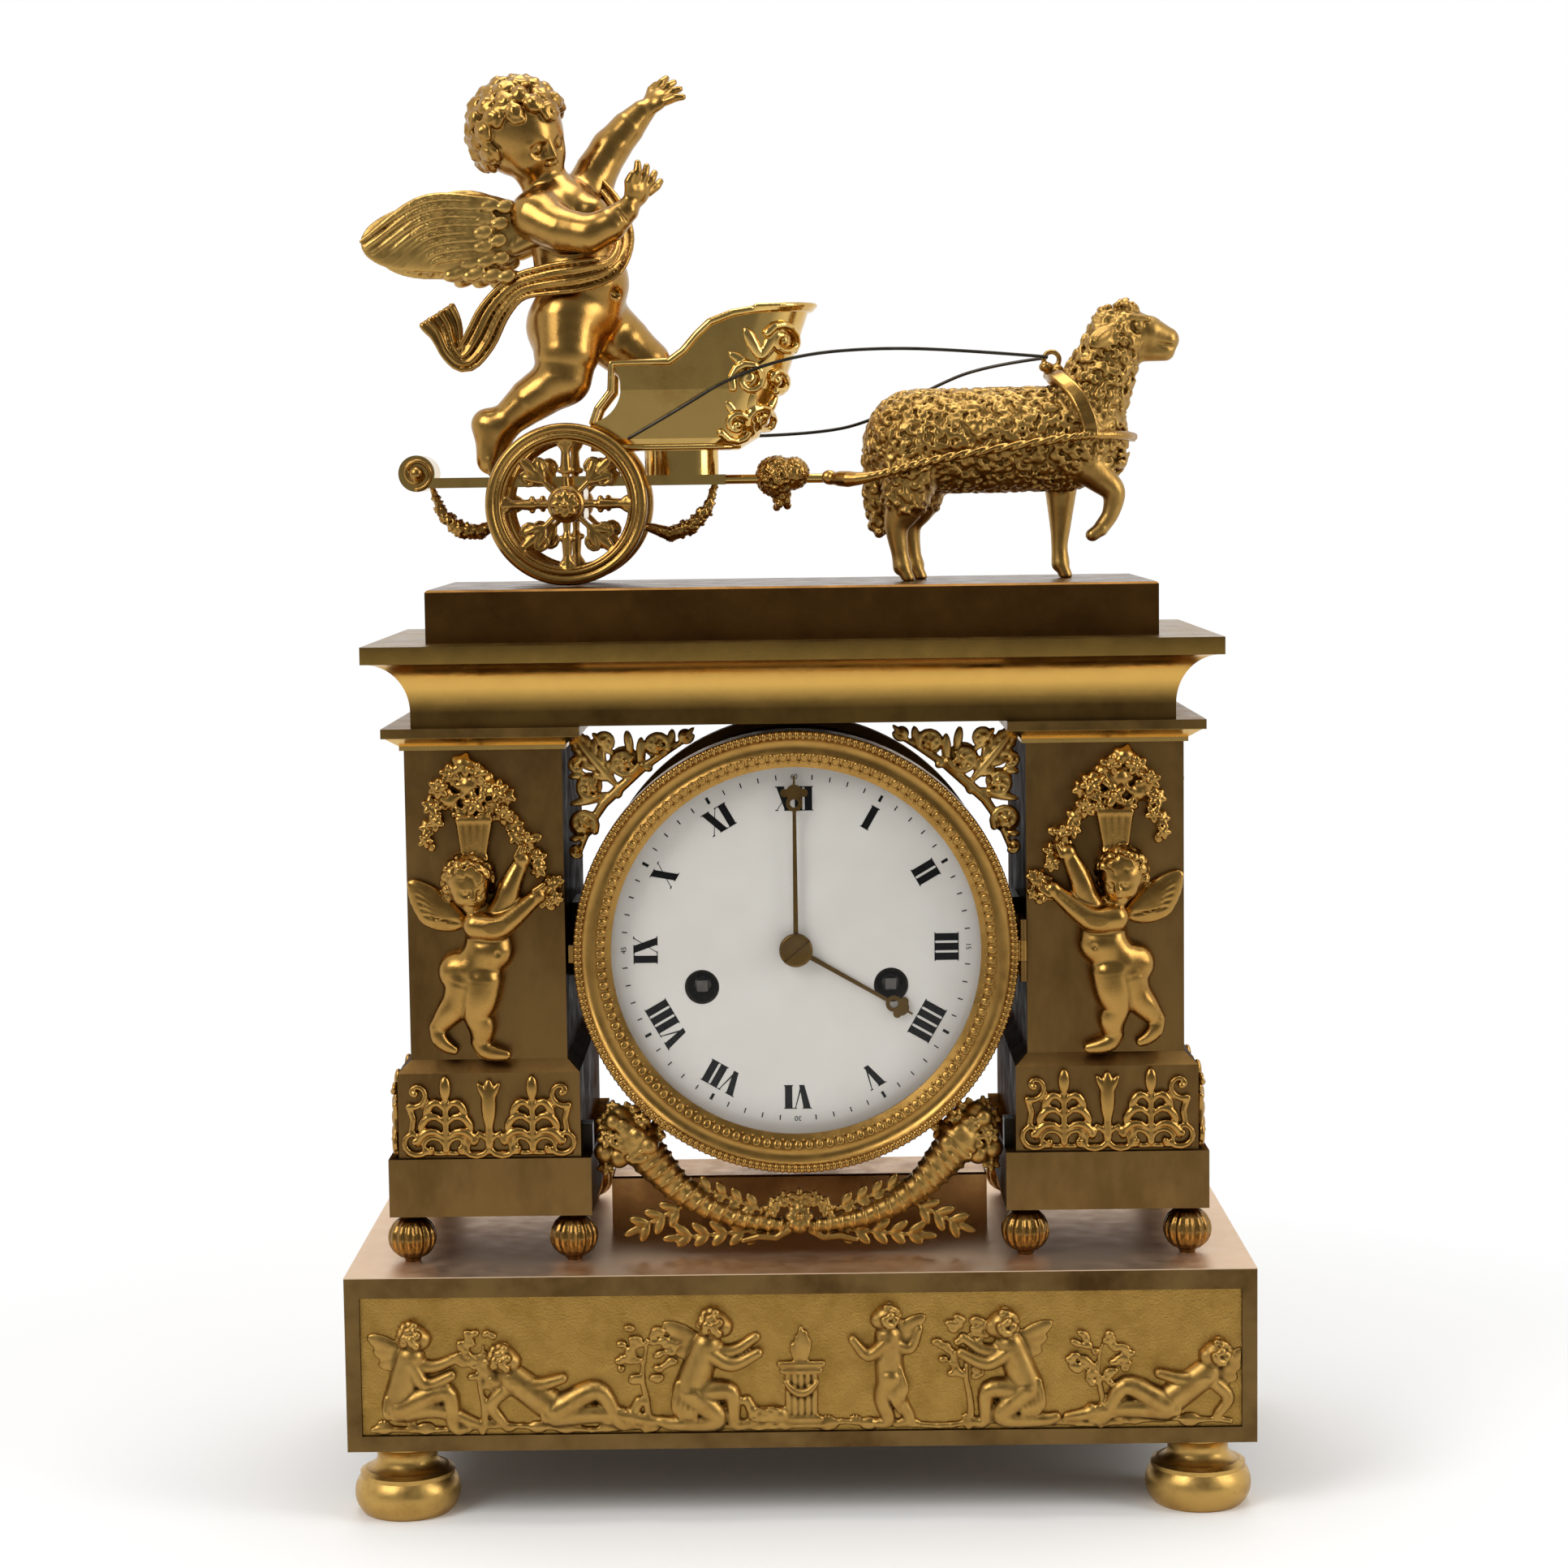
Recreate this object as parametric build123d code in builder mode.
"""Portico mantel clock: a winged child steps into a sheep-drawn chariot above the dial. Millimetres."""

import os
from math import asin, atan2, cos, degrees, pi, radians, sin, sqrt, tan

from build123d import *

os.makedirs("parts", exist_ok=True)

# General clearances
FIT_GAP = 0.1
RUN_GAP = 0.05
SEAT_GAP = 0.3
OVERRUN = 2.0

# Plinth and its feet
PLINTH_WIDTH = 262.0
PLINTH_DEPTH = 124.0
PLINTH_HEIGHT = 51.0
PANEL_SIDE_BORDER = 4.3
PANEL_LOWER_BORDER = 4.5
PANEL_UPPER_BORDER = 6.0
PANEL_RECESS = 2.6
PANEL_THICKNESS = 1.4
FOOT_HEIGHT = 21.5
FOOT_RADIUS = 16.0
FOOT_INSET = 15.3

# Pillars
BALL_HEIGHT = 14.0
BALL_RADIUS = 7.2
BALL_INSET = 5.8
SLAB_WIDTH = 59.0
SLAB_DEPTH = 92.0
SLAB_HEIGHT = 17.0
PEDESTAL_WIDTH = 53.0
PEDESTAL_DEPTH = 89.0
PEDESTAL_HEIGHT = 25.0
PEDESTAL_BEVEL_HEIGHT = 3.5
SHAFT_WIDTH = 45.6
SHAFT_DEPTH = 82.0
CAPITAL_WIDTH = 57.0
CAPITAL_DEPTH = 97.0
CAPITAL_NECK_HEIGHT = 1.3
CAPITAL_NECK_STEP = 1.2
CAPITAL_SWELL_HEIGHT = 2.6
CAPITAL_SWELL_STEP = 1.0
CAPITAL_SLAB_HEIGHT = 2.8

# Cornice, attic block and the stretcher between the pillars
CORNICE_INSET = 2.6
CORNICE_DEPTH = 90.0
FASCIA_HEIGHT = 4.5
CAVETTO_HEIGHT = 14.5
CAVETTO_REACH = 12.0
CORNICE_LIP = 0.5
CORNICE_SLAB_HEIGHT = 5.0
ATTIC_INSET = 4.3
ATTIC_DEPTH = 80.0
ATTIC_HEIGHT = 15.3
ATTIC_EDGE = 0.6
STRETCHER_GAP = 3.3
STRETCHER_DEPTH = 25.0
STRETCHER_HEIGHT = 16.0
STRETCHER_SETBACK = 9.5

# Drum case, bezel and rear door
DRUM_RISE = 25.8
DRUM_TOP_GAP = 2.1
DRUM_SIDE_GAP = 2.6
DRUM_WALL = 1.2
DRUM_FRONT = 33.0
DRUM_LENGTH = 72.0
FLANGE_REACH = 3.0
FLANGE_THICKNESS = 2.4
BEZEL_WIDTH = 10.7
BEZEL_DEPTH = 12.0
BEZEL_OVERHANG = 1.4
DIAL_COVER = 1.8
DIAL_SEAT = 2.5
BEZEL_GAP = 0.2
GLASS_THICKNESS = 1.6
GLASS_SAG = 5.0
GLASS_LIP = 1.2
HINGE_PIN_RADIUS = 0.6
HINGE_KNUCKLE_RADIUS = 1.1
HINGE_KNUCKLE_LENGTH = 6.0
HINGE_OUTSET = 1.35
LEAF_THICKNESS = 1.0
TAB_LENGTH = 1.6
TAB_HEIGHT = 5.0
TAB_THICKNESS = 2.0
REAR_DOOR_THICKNESS = 1.5
REAR_DOOR_RIM = 3.0
BRACKET_HEIGHT = 22.0
BRACKET_DEPTH = 20.0

# Dial and hands
DIAL_RADIUS = 55.5
DIAL_EDGE = 1.2
DIAL_DOME = 1.0
DIAL_BORE = 3.3
DIAL_FOOT_RADIUS = 1.0
DIAL_FOOT_INSET = 15.5
WINDING_HOLE_RADIUS = 4.75
winding_spread_share = 0.4973
winding_drop_share = 0.1982
HAND_THICKNESS = 0.6
HAND_GAP = 0.8
MINUTE_HAND_INSET = 4.5
HOUR_HAND_INSET = 16.5
HAND_BOSS_RADIUS = 4.6
HAND_SHANK_WIDTH = 1.5
HAND_TIP_WIDTH = 0.5
HAND_RING_RADIUS = 2.4
HAND_RING_BORE = 1.2
NUT_RADIUS = 4.9
NUT_HEIGHT = 1.8
NUT_SLOT_WIDTH = 1.0
NUT_SLOT_DEPTH = 0.7

# Movement
FRONT_PLATE_THICKNESS = 2.2
BACK_PLATE_THICKNESS = 2.2
BACK_PLATE_PLAY = 1.0
PLATE_GAP = 32.8
MOTION_SPACE = 7.0
PLATE_PILLAR_RADIUS = 3.0
PLATE_PILLAR_INSET = 6.0
CENTRE_ARBOR_RADIUS = 1.4
CANNON_RADIUS = 1.9
HOUR_PIPE_WALL = 0.8
GREAT_WHEEL_TEETH = 48
CENTRE_PINION_TEETH = 6
CANNON_TEETH = 8
MINUTE_WHEEL_TEETH = 24
MINUTE_PINION_TEETH = 6
HOUR_WHEEL_TEETH = 24
MOTION_CENTRES = 16.0
WHEEL_THICKNESS = 1.6
TOOTH_TIP_SHARE = 0.55
TOOTH_ROOT_SHARE = 1.0
TOOTH_FOOT_WIDTH_SHARE = 0.44
TOOTH_TIP_WIDTH_SHARE = 0.16
BARREL_TOOTH_RING = 4.9
BARREL_LENGTH = 18.0
WINDING_ARBOR_RADIUS = 2.4
WINDING_SQUARE = 3.2
PIVOT_RADIUS = 1.2
bob_drop_share = 0.6847
PENDULUM_ROD_RADIUS = 0.9
BOB_RADIUS = 11.0
BOB_THICKNESS = 6.0
suspension_rise_share = 0.7568
PENDULUM_SETBACK = 5.0
COCK_WIDTH = 12.0
COCK_HEIGHT = 6.0
COCK_LENGTH = 9.0
CRUTCH_LENGTH = 26.0
CRUTCH_WIDTH = 2.4
CRUTCH_THICKNESS = 1.2
FORK_WIDTH = 4.6
BELL_RADIUS = 19.0
BELL_DEPTH = 13.0
BELL_WALL = 1.2
BELL_SETBACK = 10.0
bell_spread_share = 0.5405
bell_rise_share = 0.1441
BELL_POST_RADIUS = 1.6
HAMMER_HEAD_RADIUS = 3.0
HAMMER_HEAD_LENGTH = 6.0
HAMMER_STAND_OFF = 0.9
HAMMER_ARM = 27.0
HAMMER_ARM_WIDTH = 1.6
HAMMER_BEARING = -110.0
HAMMER_LEAN = 113.8

# Chariot
CHARIOT_X = -65.7
WHEEL_RADIUS = 23.8
WHEEL_RIM = 5.2
WHEEL_WIDTH = 5.0
WHEEL_TRACK = 40.0
HUB_RADIUS = 5.3
HUB_WIDTH = 8.0
WHEEL_BORE = 2.06
SPOKE_COUNT = 8
SPOKE_WIDTH = 4.2
SPOKE_THICKNESS = 2.6
AXLE_RADIUS = 2.0
AXLE_CAP_RADIUS = 3.6
AXLE_CAP_LENGTH = 1.8
PLATFORM_REAR = 42.5
PLATFORM_FRONT = 46.5
PLATFORM_WIDTH = 16.0
PLATFORM_THICKNESS = 3.0
PLATFORM_RISE = 8.2
AXLE_BLOCK_LENGTH = 9.0
AXLE_BLOCK_WIDTH = 22.0
SCROLL_RADIUS = 5.4
SCROLL_BORE = 2.2
TURNTABLE_LENGTH = 22.0
TURNTABLE_WIDTH = 18.0
TURNTABLE_HEIGHT = 7.2
TURNTABLE_AHEAD = 33.3
POLE_LENGTH = 29.7
POLE_RADIUS = 1.4
BOSS_RADIUS = 7.0
BOSS_AHEAD = 61.2
TUB_HEIGHT = 41.5
TUB_WALL = 1.4
TUB_TOP_HALF_WIDTH = 15.5
TUB_REAR_AHEAD = 7.0
TUB_LIP_AHEAD = 72.0

# Figures
CHILD_HEIGHT = 118.0
WING_LENGTH = 53.0
WING_THICKNESS = 2.4
SHEEP_LENGTH = 95.0
STRAP_RADIUS = 1.2
SHEEP_X = 22.0
REIN_RADIUS = 0.5

# Applied mounts
BEARER_MARGIN = 2.5
PALMETTE_WIDTH = 50.0
PALMETTE_HEIGHT = 24.0
PALMETTE_LINE = 1.5
PALMETTE_RELIEF = 2.0
TROPHY_HEIGHT = 32.0
SPANDREL_SIZE = 36.0
SPANDREL_THICKNESS = 3.0
HORN_SIDE_GAP = 3.3
HORN_DEPTH = 4.0

# The dial's radius sets the bezel and the drum, and these set the pillars around them
BEZEL_SIGHT_RADIUS = DIAL_RADIUS - DIAL_COVER
BEZEL_RADIUS = BEZEL_SIGHT_RADIUS + BEZEL_WIDTH
FLANGE_RADIUS = BEZEL_RADIUS - BEZEL_OVERHANG
DRUM_RADIUS = FLANGE_RADIUS - FLANGE_REACH
FLANGE_BORE = DIAL_RADIUS - DIAL_SEAT
DIAL_FOOT_CIRCLE = DIAL_RADIUS - DIAL_FOOT_INSET
WINDING_HOLE_SPREAD = winding_spread_share * DIAL_RADIUS
WINDING_HOLE_DROP = winding_drop_share * DIAL_RADIUS
MINUTE_HAND_LENGTH = DIAL_RADIUS - MINUTE_HAND_INSET
HOUR_HAND_LENGTH = DIAL_RADIUS - HOUR_HAND_INSET
BACK_PLATE_RADIUS = FLANGE_BORE - BACK_PLATE_PLAY
PLATE_PILLAR_CIRCLE = BACK_PLATE_RADIUS - PLATE_PILLAR_INSET
SUSPENSION_RISE = suspension_rise_share * DIAL_RADIUS
PENDULUM_LENGTH = SUSPENSION_RISE + bob_drop_share * DIAL_RADIUS
BELL_SPREAD = bell_spread_share * DIAL_RADIUS
BELL_RISE = bell_rise_share * DIAL_RADIUS
PILLAR_SPACING = 2 * (BEZEL_RADIUS + DRUM_SIDE_GAP) + SHAFT_WIDTH
CORNICE_WIDTH = PILLAR_SPACING + SHAFT_WIDTH - 2 * CORNICE_INSET
ATTIC_WIDTH = CORNICE_WIDTH - 2 * ATTIC_INSET
STRETCHER_WIDTH = PILLAR_SPACING - SLAB_WIDTH - 2 * STRETCHER_GAP
HORN_SPREAD = (PILLAR_SPACING - PEDESTAL_WIDTH) / 2 - HORN_SIDE_GAP

# Levels, from the table upwards
PLINTH_TOP = FOOT_HEIGHT + PLINTH_HEIGHT
DIAL_Z = PLINTH_TOP + DRUM_RISE + BEZEL_RADIUS
CAPITAL_TOP = DIAL_Z + BEZEL_RADIUS + DRUM_TOP_GAP
SLAB_BOTTOM = PLINTH_TOP + BALL_HEIGHT
PEDESTAL_BOTTOM = SLAB_BOTTOM + SLAB_HEIGHT
BEVEL_BOTTOM = PEDESTAL_BOTTOM + PEDESTAL_HEIGHT
SHAFT_BOTTOM = BEVEL_BOTTOM + PEDESTAL_BEVEL_HEIGHT
SHAFT_TOP = CAPITAL_TOP - CAPITAL_NECK_HEIGHT - CAPITAL_SWELL_HEIGHT - CAPITAL_SLAB_HEIGHT
SHAFT_HEIGHT = SHAFT_TOP - SHAFT_BOTTOM
BEARER_HEIGHT = SHAFT_HEIGHT - BEARER_MARGIN
CAVETTO_BOTTOM = CAPITAL_TOP + FASCIA_HEIGHT
CAVETTO_TOP = CAVETTO_BOTTOM + CAVETTO_HEIGHT
CORNICE_TOP = CAVETTO_TOP + CORNICE_SLAB_HEIGHT
ATTIC_TOP = CORNICE_TOP + ATTIC_HEIGHT
PILLAR_X = PILLAR_SPACING / 2

# Depths along Y, with the front of the clock at negative Y
FLANGE_FRONT = -DRUM_FRONT - FLANGE_THICKNESS / 2
DRUM_BACK = DRUM_LENGTH - DRUM_FRONT
BEZEL_BACK = FLANGE_FRONT - BEZEL_GAP
BEZEL_FRONT = BEZEL_BACK - BEZEL_DEPTH
DIAL_FACE = FLANGE_FRONT - DIAL_EDGE - DIAL_DOME
HOUR_HAND_BACK = DIAL_FACE - HAND_GAP
MINUTE_HAND_BACK = HOUR_HAND_BACK - HAND_THICKNESS - HAND_GAP
NUT_BACK = MINUTE_HAND_BACK - HAND_THICKNESS
FRONT_PLATE_FRONT = FLANGE_FRONT + MOTION_SPACE
FRONT_PLATE_BACK = FRONT_PLATE_FRONT + FRONT_PLATE_THICKNESS
BACK_PLATE_FRONT = FRONT_PLATE_BACK + PLATE_GAP
BACK_PLATE_BACK = BACK_PLATE_FRONT + BACK_PLATE_THICKNESS

MOVEMENT_AXIS = Axis((0, 0, DIAL_Z), (0, 1, 0))
SIDES = {"left": -1, "right": 1}


def facing(y, x=0.0, z=0.0):
    """A plane that faces the front, with its X to the right and its Y upwards."""
    return Plane(origin=(x, y, z), x_dir=(1, 0, 0), z_dir=(0, -1, 0))


def disc(y, x, z, radius, depth, mode=Mode.ADD):
    """A round plate or hole whose back is at y and that runs towards the front."""
    with BuildSketch(facing(y, x, z)) as round_face:
        Circle(radius)
    extrude(round_face.sketch, amount=depth, mode=mode)


limb_seat_share = 0.96


def bone(start, end, start_radius, end_radius):
    """A tapering limb with round ends."""
    start = Vector(start)
    run = Vector(end) - start
    lean = asin((start_radius - end_radius) / run.length)
    across = Vector(0, 0, 1) if abs(run.Z) < run.length * sin(pi / 4) else Vector(0, 1, 0)
    plane = Plane(origin=start, x_dir=run, z_dir=run.cross(across))
    start_side = (start_radius * sin(lean), start_radius * cos(lean))
    end_side = (run.length + end_radius * sin(lean), end_radius * cos(lean))
    half_way = (lean + pi / 2) / 2 - pi / 2
    end_half_way = (lean + pi / 2) / 2
    with BuildSketch(plane) as half:
        with BuildLine():
            ThreePointArc(
                (-start_radius, 0),
                (start_radius * sin(half_way), start_radius * cos(half_way)),
                start_side,
            )
            Line(start_side, end_side)
            ThreePointArc(
                end_side,
                (
                    run.length + end_radius * sin(end_half_way),
                    end_radius * cos(end_half_way),
                ),
                (run.length + end_radius, 0),
            )
            Line((run.length + end_radius, 0), (-start_radius, 0))
        make_face()
    return revolve(half.sketch, axis=Axis(start, run), mode=Mode.PRIVATE)


def limb(joints, seat_share=limb_seat_share):
    """A chain of bones through joints, each given as a place and a radius."""
    bones = []
    seat = 1.0
    for (start, start_radius), (end, end_radius) in zip(joints, joints[1:]):
        bones.append(bone(start, end, seat * start_radius, end_radius))
        seat = seat_share
    return bones


def figure(limbs):
    """Joins the bones of several limbs into one casting."""
    add([piece for chain in limbs for piece in limb(chain)])


def strapwork(limbs):
    """Joins thin limbs bone by bone, with full joints between them."""
    for chain in limbs:
        for piece in limb(chain, 1.0):
            add(piece)


def toothed(y, x, z, teeth, module, first_tooth, width):
    """A toothed wheel whose back is at y, with its first tooth at an angle in degrees."""
    pitch_radius = module * teeth / 2
    tip = pitch_radius + module * TOOTH_TIP_SHARE
    root = pitch_radius - module * TOOTH_ROOT_SHARE
    corners = (
        (root, -TOOTH_FOOT_WIDTH_SHARE / 2),
        (tip, -TOOTH_TIP_WIDTH_SHARE / 2),
        (tip, TOOTH_TIP_WIDTH_SHARE / 2),
        (root, TOOTH_FOOT_WIDTH_SHARE / 2),
    )
    points = []
    for tooth in range(teeth):
        for radius, aside in corners:
            angle = radians(first_tooth) + 2 * pi * (tooth + aside) / teeth
            points.append((radius * cos(angle), radius * sin(angle)))
    with BuildSketch(facing(y, x, z)) as wheel:
        with BuildLine():
            Polyline(*points, close=True)
        make_face()
    extrude(wheel.sketch, amount=width)


def tapered_block(x, bottom, height, low, high):
    """A block between two rectangles, given as width and depth."""
    with BuildSketch(Plane(origin=(x, 0, bottom))) as lower:
        Rectangle(*low)
    with BuildSketch(Plane(origin=(x, 0, bottom + height))) as upper:
        Rectangle(*high)
    loft([lower.sketch, upper.sketch])


def keep(builder, name):
    """Labels a finished piece and writes it."""
    builder.part.label = name
    export_step(builder.part, f"parts/{name}.step")


# Plinth: a plain box with a sunk panel in its front
PANEL_WIDTH = PLINTH_WIDTH - 2 * PANEL_SIDE_BORDER
PANEL_HEIGHT = PLINTH_HEIGHT - PANEL_LOWER_BORDER - PANEL_UPPER_BORDER
PANEL_Z = FOOT_HEIGHT + PANEL_LOWER_BORDER + PANEL_HEIGHT / 2

with BuildPart() as plinth:
    with BuildSketch(Plane.XY.offset(FOOT_HEIGHT)):
        Rectangle(PLINTH_WIDTH, PLINTH_DEPTH)
    extrude(amount=PLINTH_HEIGHT)
    with BuildSketch(facing(-PLINTH_DEPTH / 2, 0, PANEL_Z)):
        Rectangle(PANEL_WIDTH, PANEL_HEIGHT)
    extrude(amount=-PANEL_RECESS, mode=Mode.SUBTRACT)
keep(plinth, "plinth")

with BuildPart() as frieze_panel:
    with BuildSketch(facing(PANEL_RECESS - PLINTH_DEPTH / 2, 0, PANEL_Z)):
        Rectangle(PANEL_WIDTH - 2 * FIT_GAP, PANEL_HEIGHT - 2 * FIT_GAP)
    extrude(amount=PANEL_THICKNESS)
keep(frieze_panel, "frieze_panel")

# Turned feet: a wide ring under a stepped, hollow-sided neck
foot_ring_top_share = 0.50
foot_ring_floor_share = 0.80
foot_ring_wide_share = 0.965
foot_step_shares = ((0.86, 0.50), (0.86, 0.56), (0.76, 0.60))
foot_waist_share = (0.55, 0.80)
foot_neck_shares = ((0.66, 0.92), (0.66, 1.0))


def foot_point(shares):
    """A point of the foot's profile, as shares of its radius and height."""
    return (shares[0] * FOOT_RADIUS, shares[1] * FOOT_HEIGHT)


with BuildPart() as plinth_feet:
    for foot_x in (FOOT_INSET - PLINTH_WIDTH / 2, PLINTH_WIDTH / 2 - FOOT_INSET):
        for foot_y in (FOOT_INSET - PLINTH_DEPTH / 2, PLINTH_DEPTH / 2 - FOOT_INSET):
            foot_plane = Plane(origin=(foot_x, foot_y, 0), x_dir=(1, 0, 0), z_dir=(0, -1, 0))
            with BuildSketch(foot_plane) as foot_profile:
                with BuildLine():
                    Line((0, 0), foot_point((foot_ring_floor_share, 0)))
                    ThreePointArc(
                        foot_point((foot_ring_floor_share, 0)),
                        foot_point((foot_ring_wide_share, foot_ring_top_share / 2)),
                        foot_point(foot_step_shares[0]),
                    )
                    Polyline(*[foot_point(step) for step in foot_step_shares])
                    ThreePointArc(
                        foot_point(foot_step_shares[-1]),
                        foot_point(foot_waist_share),
                        foot_point(foot_neck_shares[0]),
                    )
                    Polyline(*[foot_point(step) for step in foot_neck_shares], (0, FOOT_HEIGHT), (0, 0))
                make_face()
            revolve(foot_profile.sketch, axis=Axis((foot_x, foot_y, 0), (0, 0, 1)))
keep(plinth_feet, "plinth_feet")

# Balls that lift the pillars off the plinth
ball_flat = sqrt(BALL_RADIUS**2 - (BALL_HEIGHT / 2) ** 2)
ball_places = [
    (side * PILLAR_X + across * (SLAB_WIDTH / 2 - BALL_INSET), along * (SLAB_DEPTH / 2 - BALL_INSET))
    for side in SIDES.values()
    for across in (-1, 1)
    for along in (-1, 1)
]
with BuildPart() as pillar_ball_feet:
    for ball_x, ball_y in ball_places:
        ball_plane = facing(ball_y, ball_x, PLINTH_TOP + BALL_HEIGHT / 2)
        with BuildSketch(ball_plane) as ball_profile:
            with BuildLine():
                ThreePointArc((ball_flat, -BALL_HEIGHT / 2), (BALL_RADIUS, 0), (ball_flat, BALL_HEIGHT / 2))
                Polyline(
                    (ball_flat, BALL_HEIGHT / 2),
                    (0, BALL_HEIGHT / 2),
                    (0, -BALL_HEIGHT / 2),
                    (ball_flat, -BALL_HEIGHT / 2),
                )
            make_face()
        revolve(ball_profile.sketch, axis=Axis((ball_x, ball_y, 0), (0, 0, 1)))
keep(pillar_ball_feet, "pillar_ball_feet")

# Pillars: pedestal with its slab, shaft and capital on each side
for side_name, side in SIDES.items():
    pillar_x = side * PILLAR_X

    with BuildPart() as pillar_pedestal:
        slab = (SLAB_WIDTH, SLAB_DEPTH)
        pedestal = (PEDESTAL_WIDTH, PEDESTAL_DEPTH)
        shaft = (SHAFT_WIDTH, SHAFT_DEPTH)
        tapered_block(pillar_x, SLAB_BOTTOM, SLAB_HEIGHT, slab, slab)
        tapered_block(pillar_x, PEDESTAL_BOTTOM, PEDESTAL_HEIGHT, pedestal, pedestal)
        tapered_block(pillar_x, BEVEL_BOTTOM, PEDESTAL_BEVEL_HEIGHT, pedestal, shaft)
    keep(pillar_pedestal, f"pillar_pedestal_{side_name}")

    with BuildPart() as pillar_shaft:
        with BuildSketch(Plane(origin=(pillar_x, 0, SHAFT_BOTTOM))):
            Rectangle(SHAFT_WIDTH, SHAFT_DEPTH)
        extrude(amount=SHAFT_HEIGHT)
    keep(pillar_shaft, f"pillar_shaft_{side_name}")

    with BuildPart() as pillar_capital:
        neck = (SHAFT_WIDTH + 2 * CAPITAL_NECK_STEP, SHAFT_DEPTH + 2 * CAPITAL_NECK_STEP)
        swell = (CAPITAL_WIDTH - 2 * CAPITAL_SWELL_STEP, CAPITAL_DEPTH - 2 * CAPITAL_SWELL_STEP)
        top = (CAPITAL_WIDTH, CAPITAL_DEPTH)
        tapered_block(pillar_x, SHAFT_TOP, CAPITAL_NECK_HEIGHT, neck, neck)
        tapered_block(pillar_x, SHAFT_TOP + CAPITAL_NECK_HEIGHT, CAPITAL_SWELL_HEIGHT, neck, swell)
        tapered_block(pillar_x, CAPITAL_TOP - CAPITAL_SLAB_HEIGHT, CAPITAL_SLAB_HEIGHT, top, top)
    keep(pillar_capital, f"pillar_capital_{side_name}")

# Cornice: one hollow moulding run round all four sides, with mitred corners
cavetto_rise_share = 0.55
cavetto_turn_share = 0.45


def cornice_outline(half):
    """The cornice's section for one half width."""
    reach = half + CAVETTO_REACH
    with BuildLine() as edge:
        Line((0, CAPITAL_TOP), (half, CAPITAL_TOP))
        Line((half, CAPITAL_TOP), (half, CAVETTO_BOTTOM))
        Bezier(
            (half, CAVETTO_BOTTOM),
            (half, CAVETTO_BOTTOM + cavetto_rise_share * CAVETTO_HEIGHT),
            (half + cavetto_turn_share * CAVETTO_REACH, CAVETTO_TOP),
            (reach, CAVETTO_TOP),
        )
        Polyline(
            (reach, CAVETTO_TOP),
            (reach + CORNICE_LIP, CAVETTO_TOP),
            (reach + CORNICE_LIP, CORNICE_TOP),
            (0, CORNICE_TOP),
        )
        mirror(about=Plane.YZ)
    return edge.line


with BuildPart() as cornice:
    with BuildSketch(Plane.XZ):
        add(cornice_outline(CORNICE_WIDTH / 2))
        make_face()
    extrude(amount=CORNICE_DEPTH, both=True)
    with BuildSketch(Plane.YZ):
        add(cornice_outline(CORNICE_DEPTH / 2))
        make_face()
    extrude(amount=CORNICE_WIDTH, both=True, mode=Mode.INTERSECT)
keep(cornice, "cornice")

with BuildPart() as attic_block:
    with BuildSketch(Plane.XY.offset(CORNICE_TOP)):
        Rectangle(ATTIC_WIDTH, ATTIC_DEPTH)
    extrude(amount=ATTIC_HEIGHT)
    chamfer(attic_block.edges().group_by(Axis.Z)[-1], length=ATTIC_EDGE)
keep(attic_block, "attic_block")

with BuildPart() as stretcher:
    with BuildSketch(Plane(origin=(0, STRETCHER_SETBACK, PLINTH_TOP))):
        Rectangle(STRETCHER_WIDTH, STRETCHER_DEPTH)
    extrude(amount=STRETCHER_HEIGHT)
    chamfer(stretcher.edges().group_by(Axis.Z)[-1], length=ATTIC_EDGE)
keep(stretcher, "stretcher")

# Drum case: a tube with a front flange, a rear rim and the fixed hinge leaves
HINGE_X = BEZEL_RADIUS + HINGE_OUTSET
HINGE_Y = BEZEL_FRONT + HINGE_KNUCKLE_RADIUS
REAR_HINGE_X = -FLANGE_RADIUS - HINGE_OUTSET
REAR_HINGE_Y = DRUM_BACK + BEZEL_GAP + REAR_DOOR_RIM - HINGE_KNUCKLE_RADIUS


def knuckle(x, y, low, high, radius, bore, mode=Mode.ADD):
    """A hinge barrel standing on end between two levels."""
    with BuildSketch(Plane(origin=(x, y, low))) as ring:
        Circle(radius)
        if bore:
            Circle(bore, mode=Mode.SUBTRACT)
    extrude(ring.sketch, amount=high - low, mode=mode)


def upright_block(x_low, x_high, y_low, y_high, z_low, z_high, mode=Mode.ADD):
    """A plain block between limits."""
    with BuildSketch(Plane(origin=((x_low + x_high) / 2, (y_low + y_high) / 2, z_low))) as foot:
        Rectangle(x_high - x_low, y_high - y_low)
    extrude(foot.sketch, amount=z_high - z_low, mode=mode)


def leaf(x, y_from, y_to, low, high, inward):
    """A fixed hinge leaf: a strap from the drum's flange to the knuckle at x, y_to."""
    strap = (x - LEAF_THICKNESS / 2, x + LEAF_THICKNESS / 2)
    upright_block(*strap, min(y_from, y_to), max(y_from, y_to), low, high)
    foot = sorted((x + LEAF_THICKNESS / 2 * -inward, x + inward * (HINGE_OUTSET + OVERRUN)))
    half = FLANGE_THICKNESS / 2
    upright_block(*foot, y_from - half, y_from + half, low, high)


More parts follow.
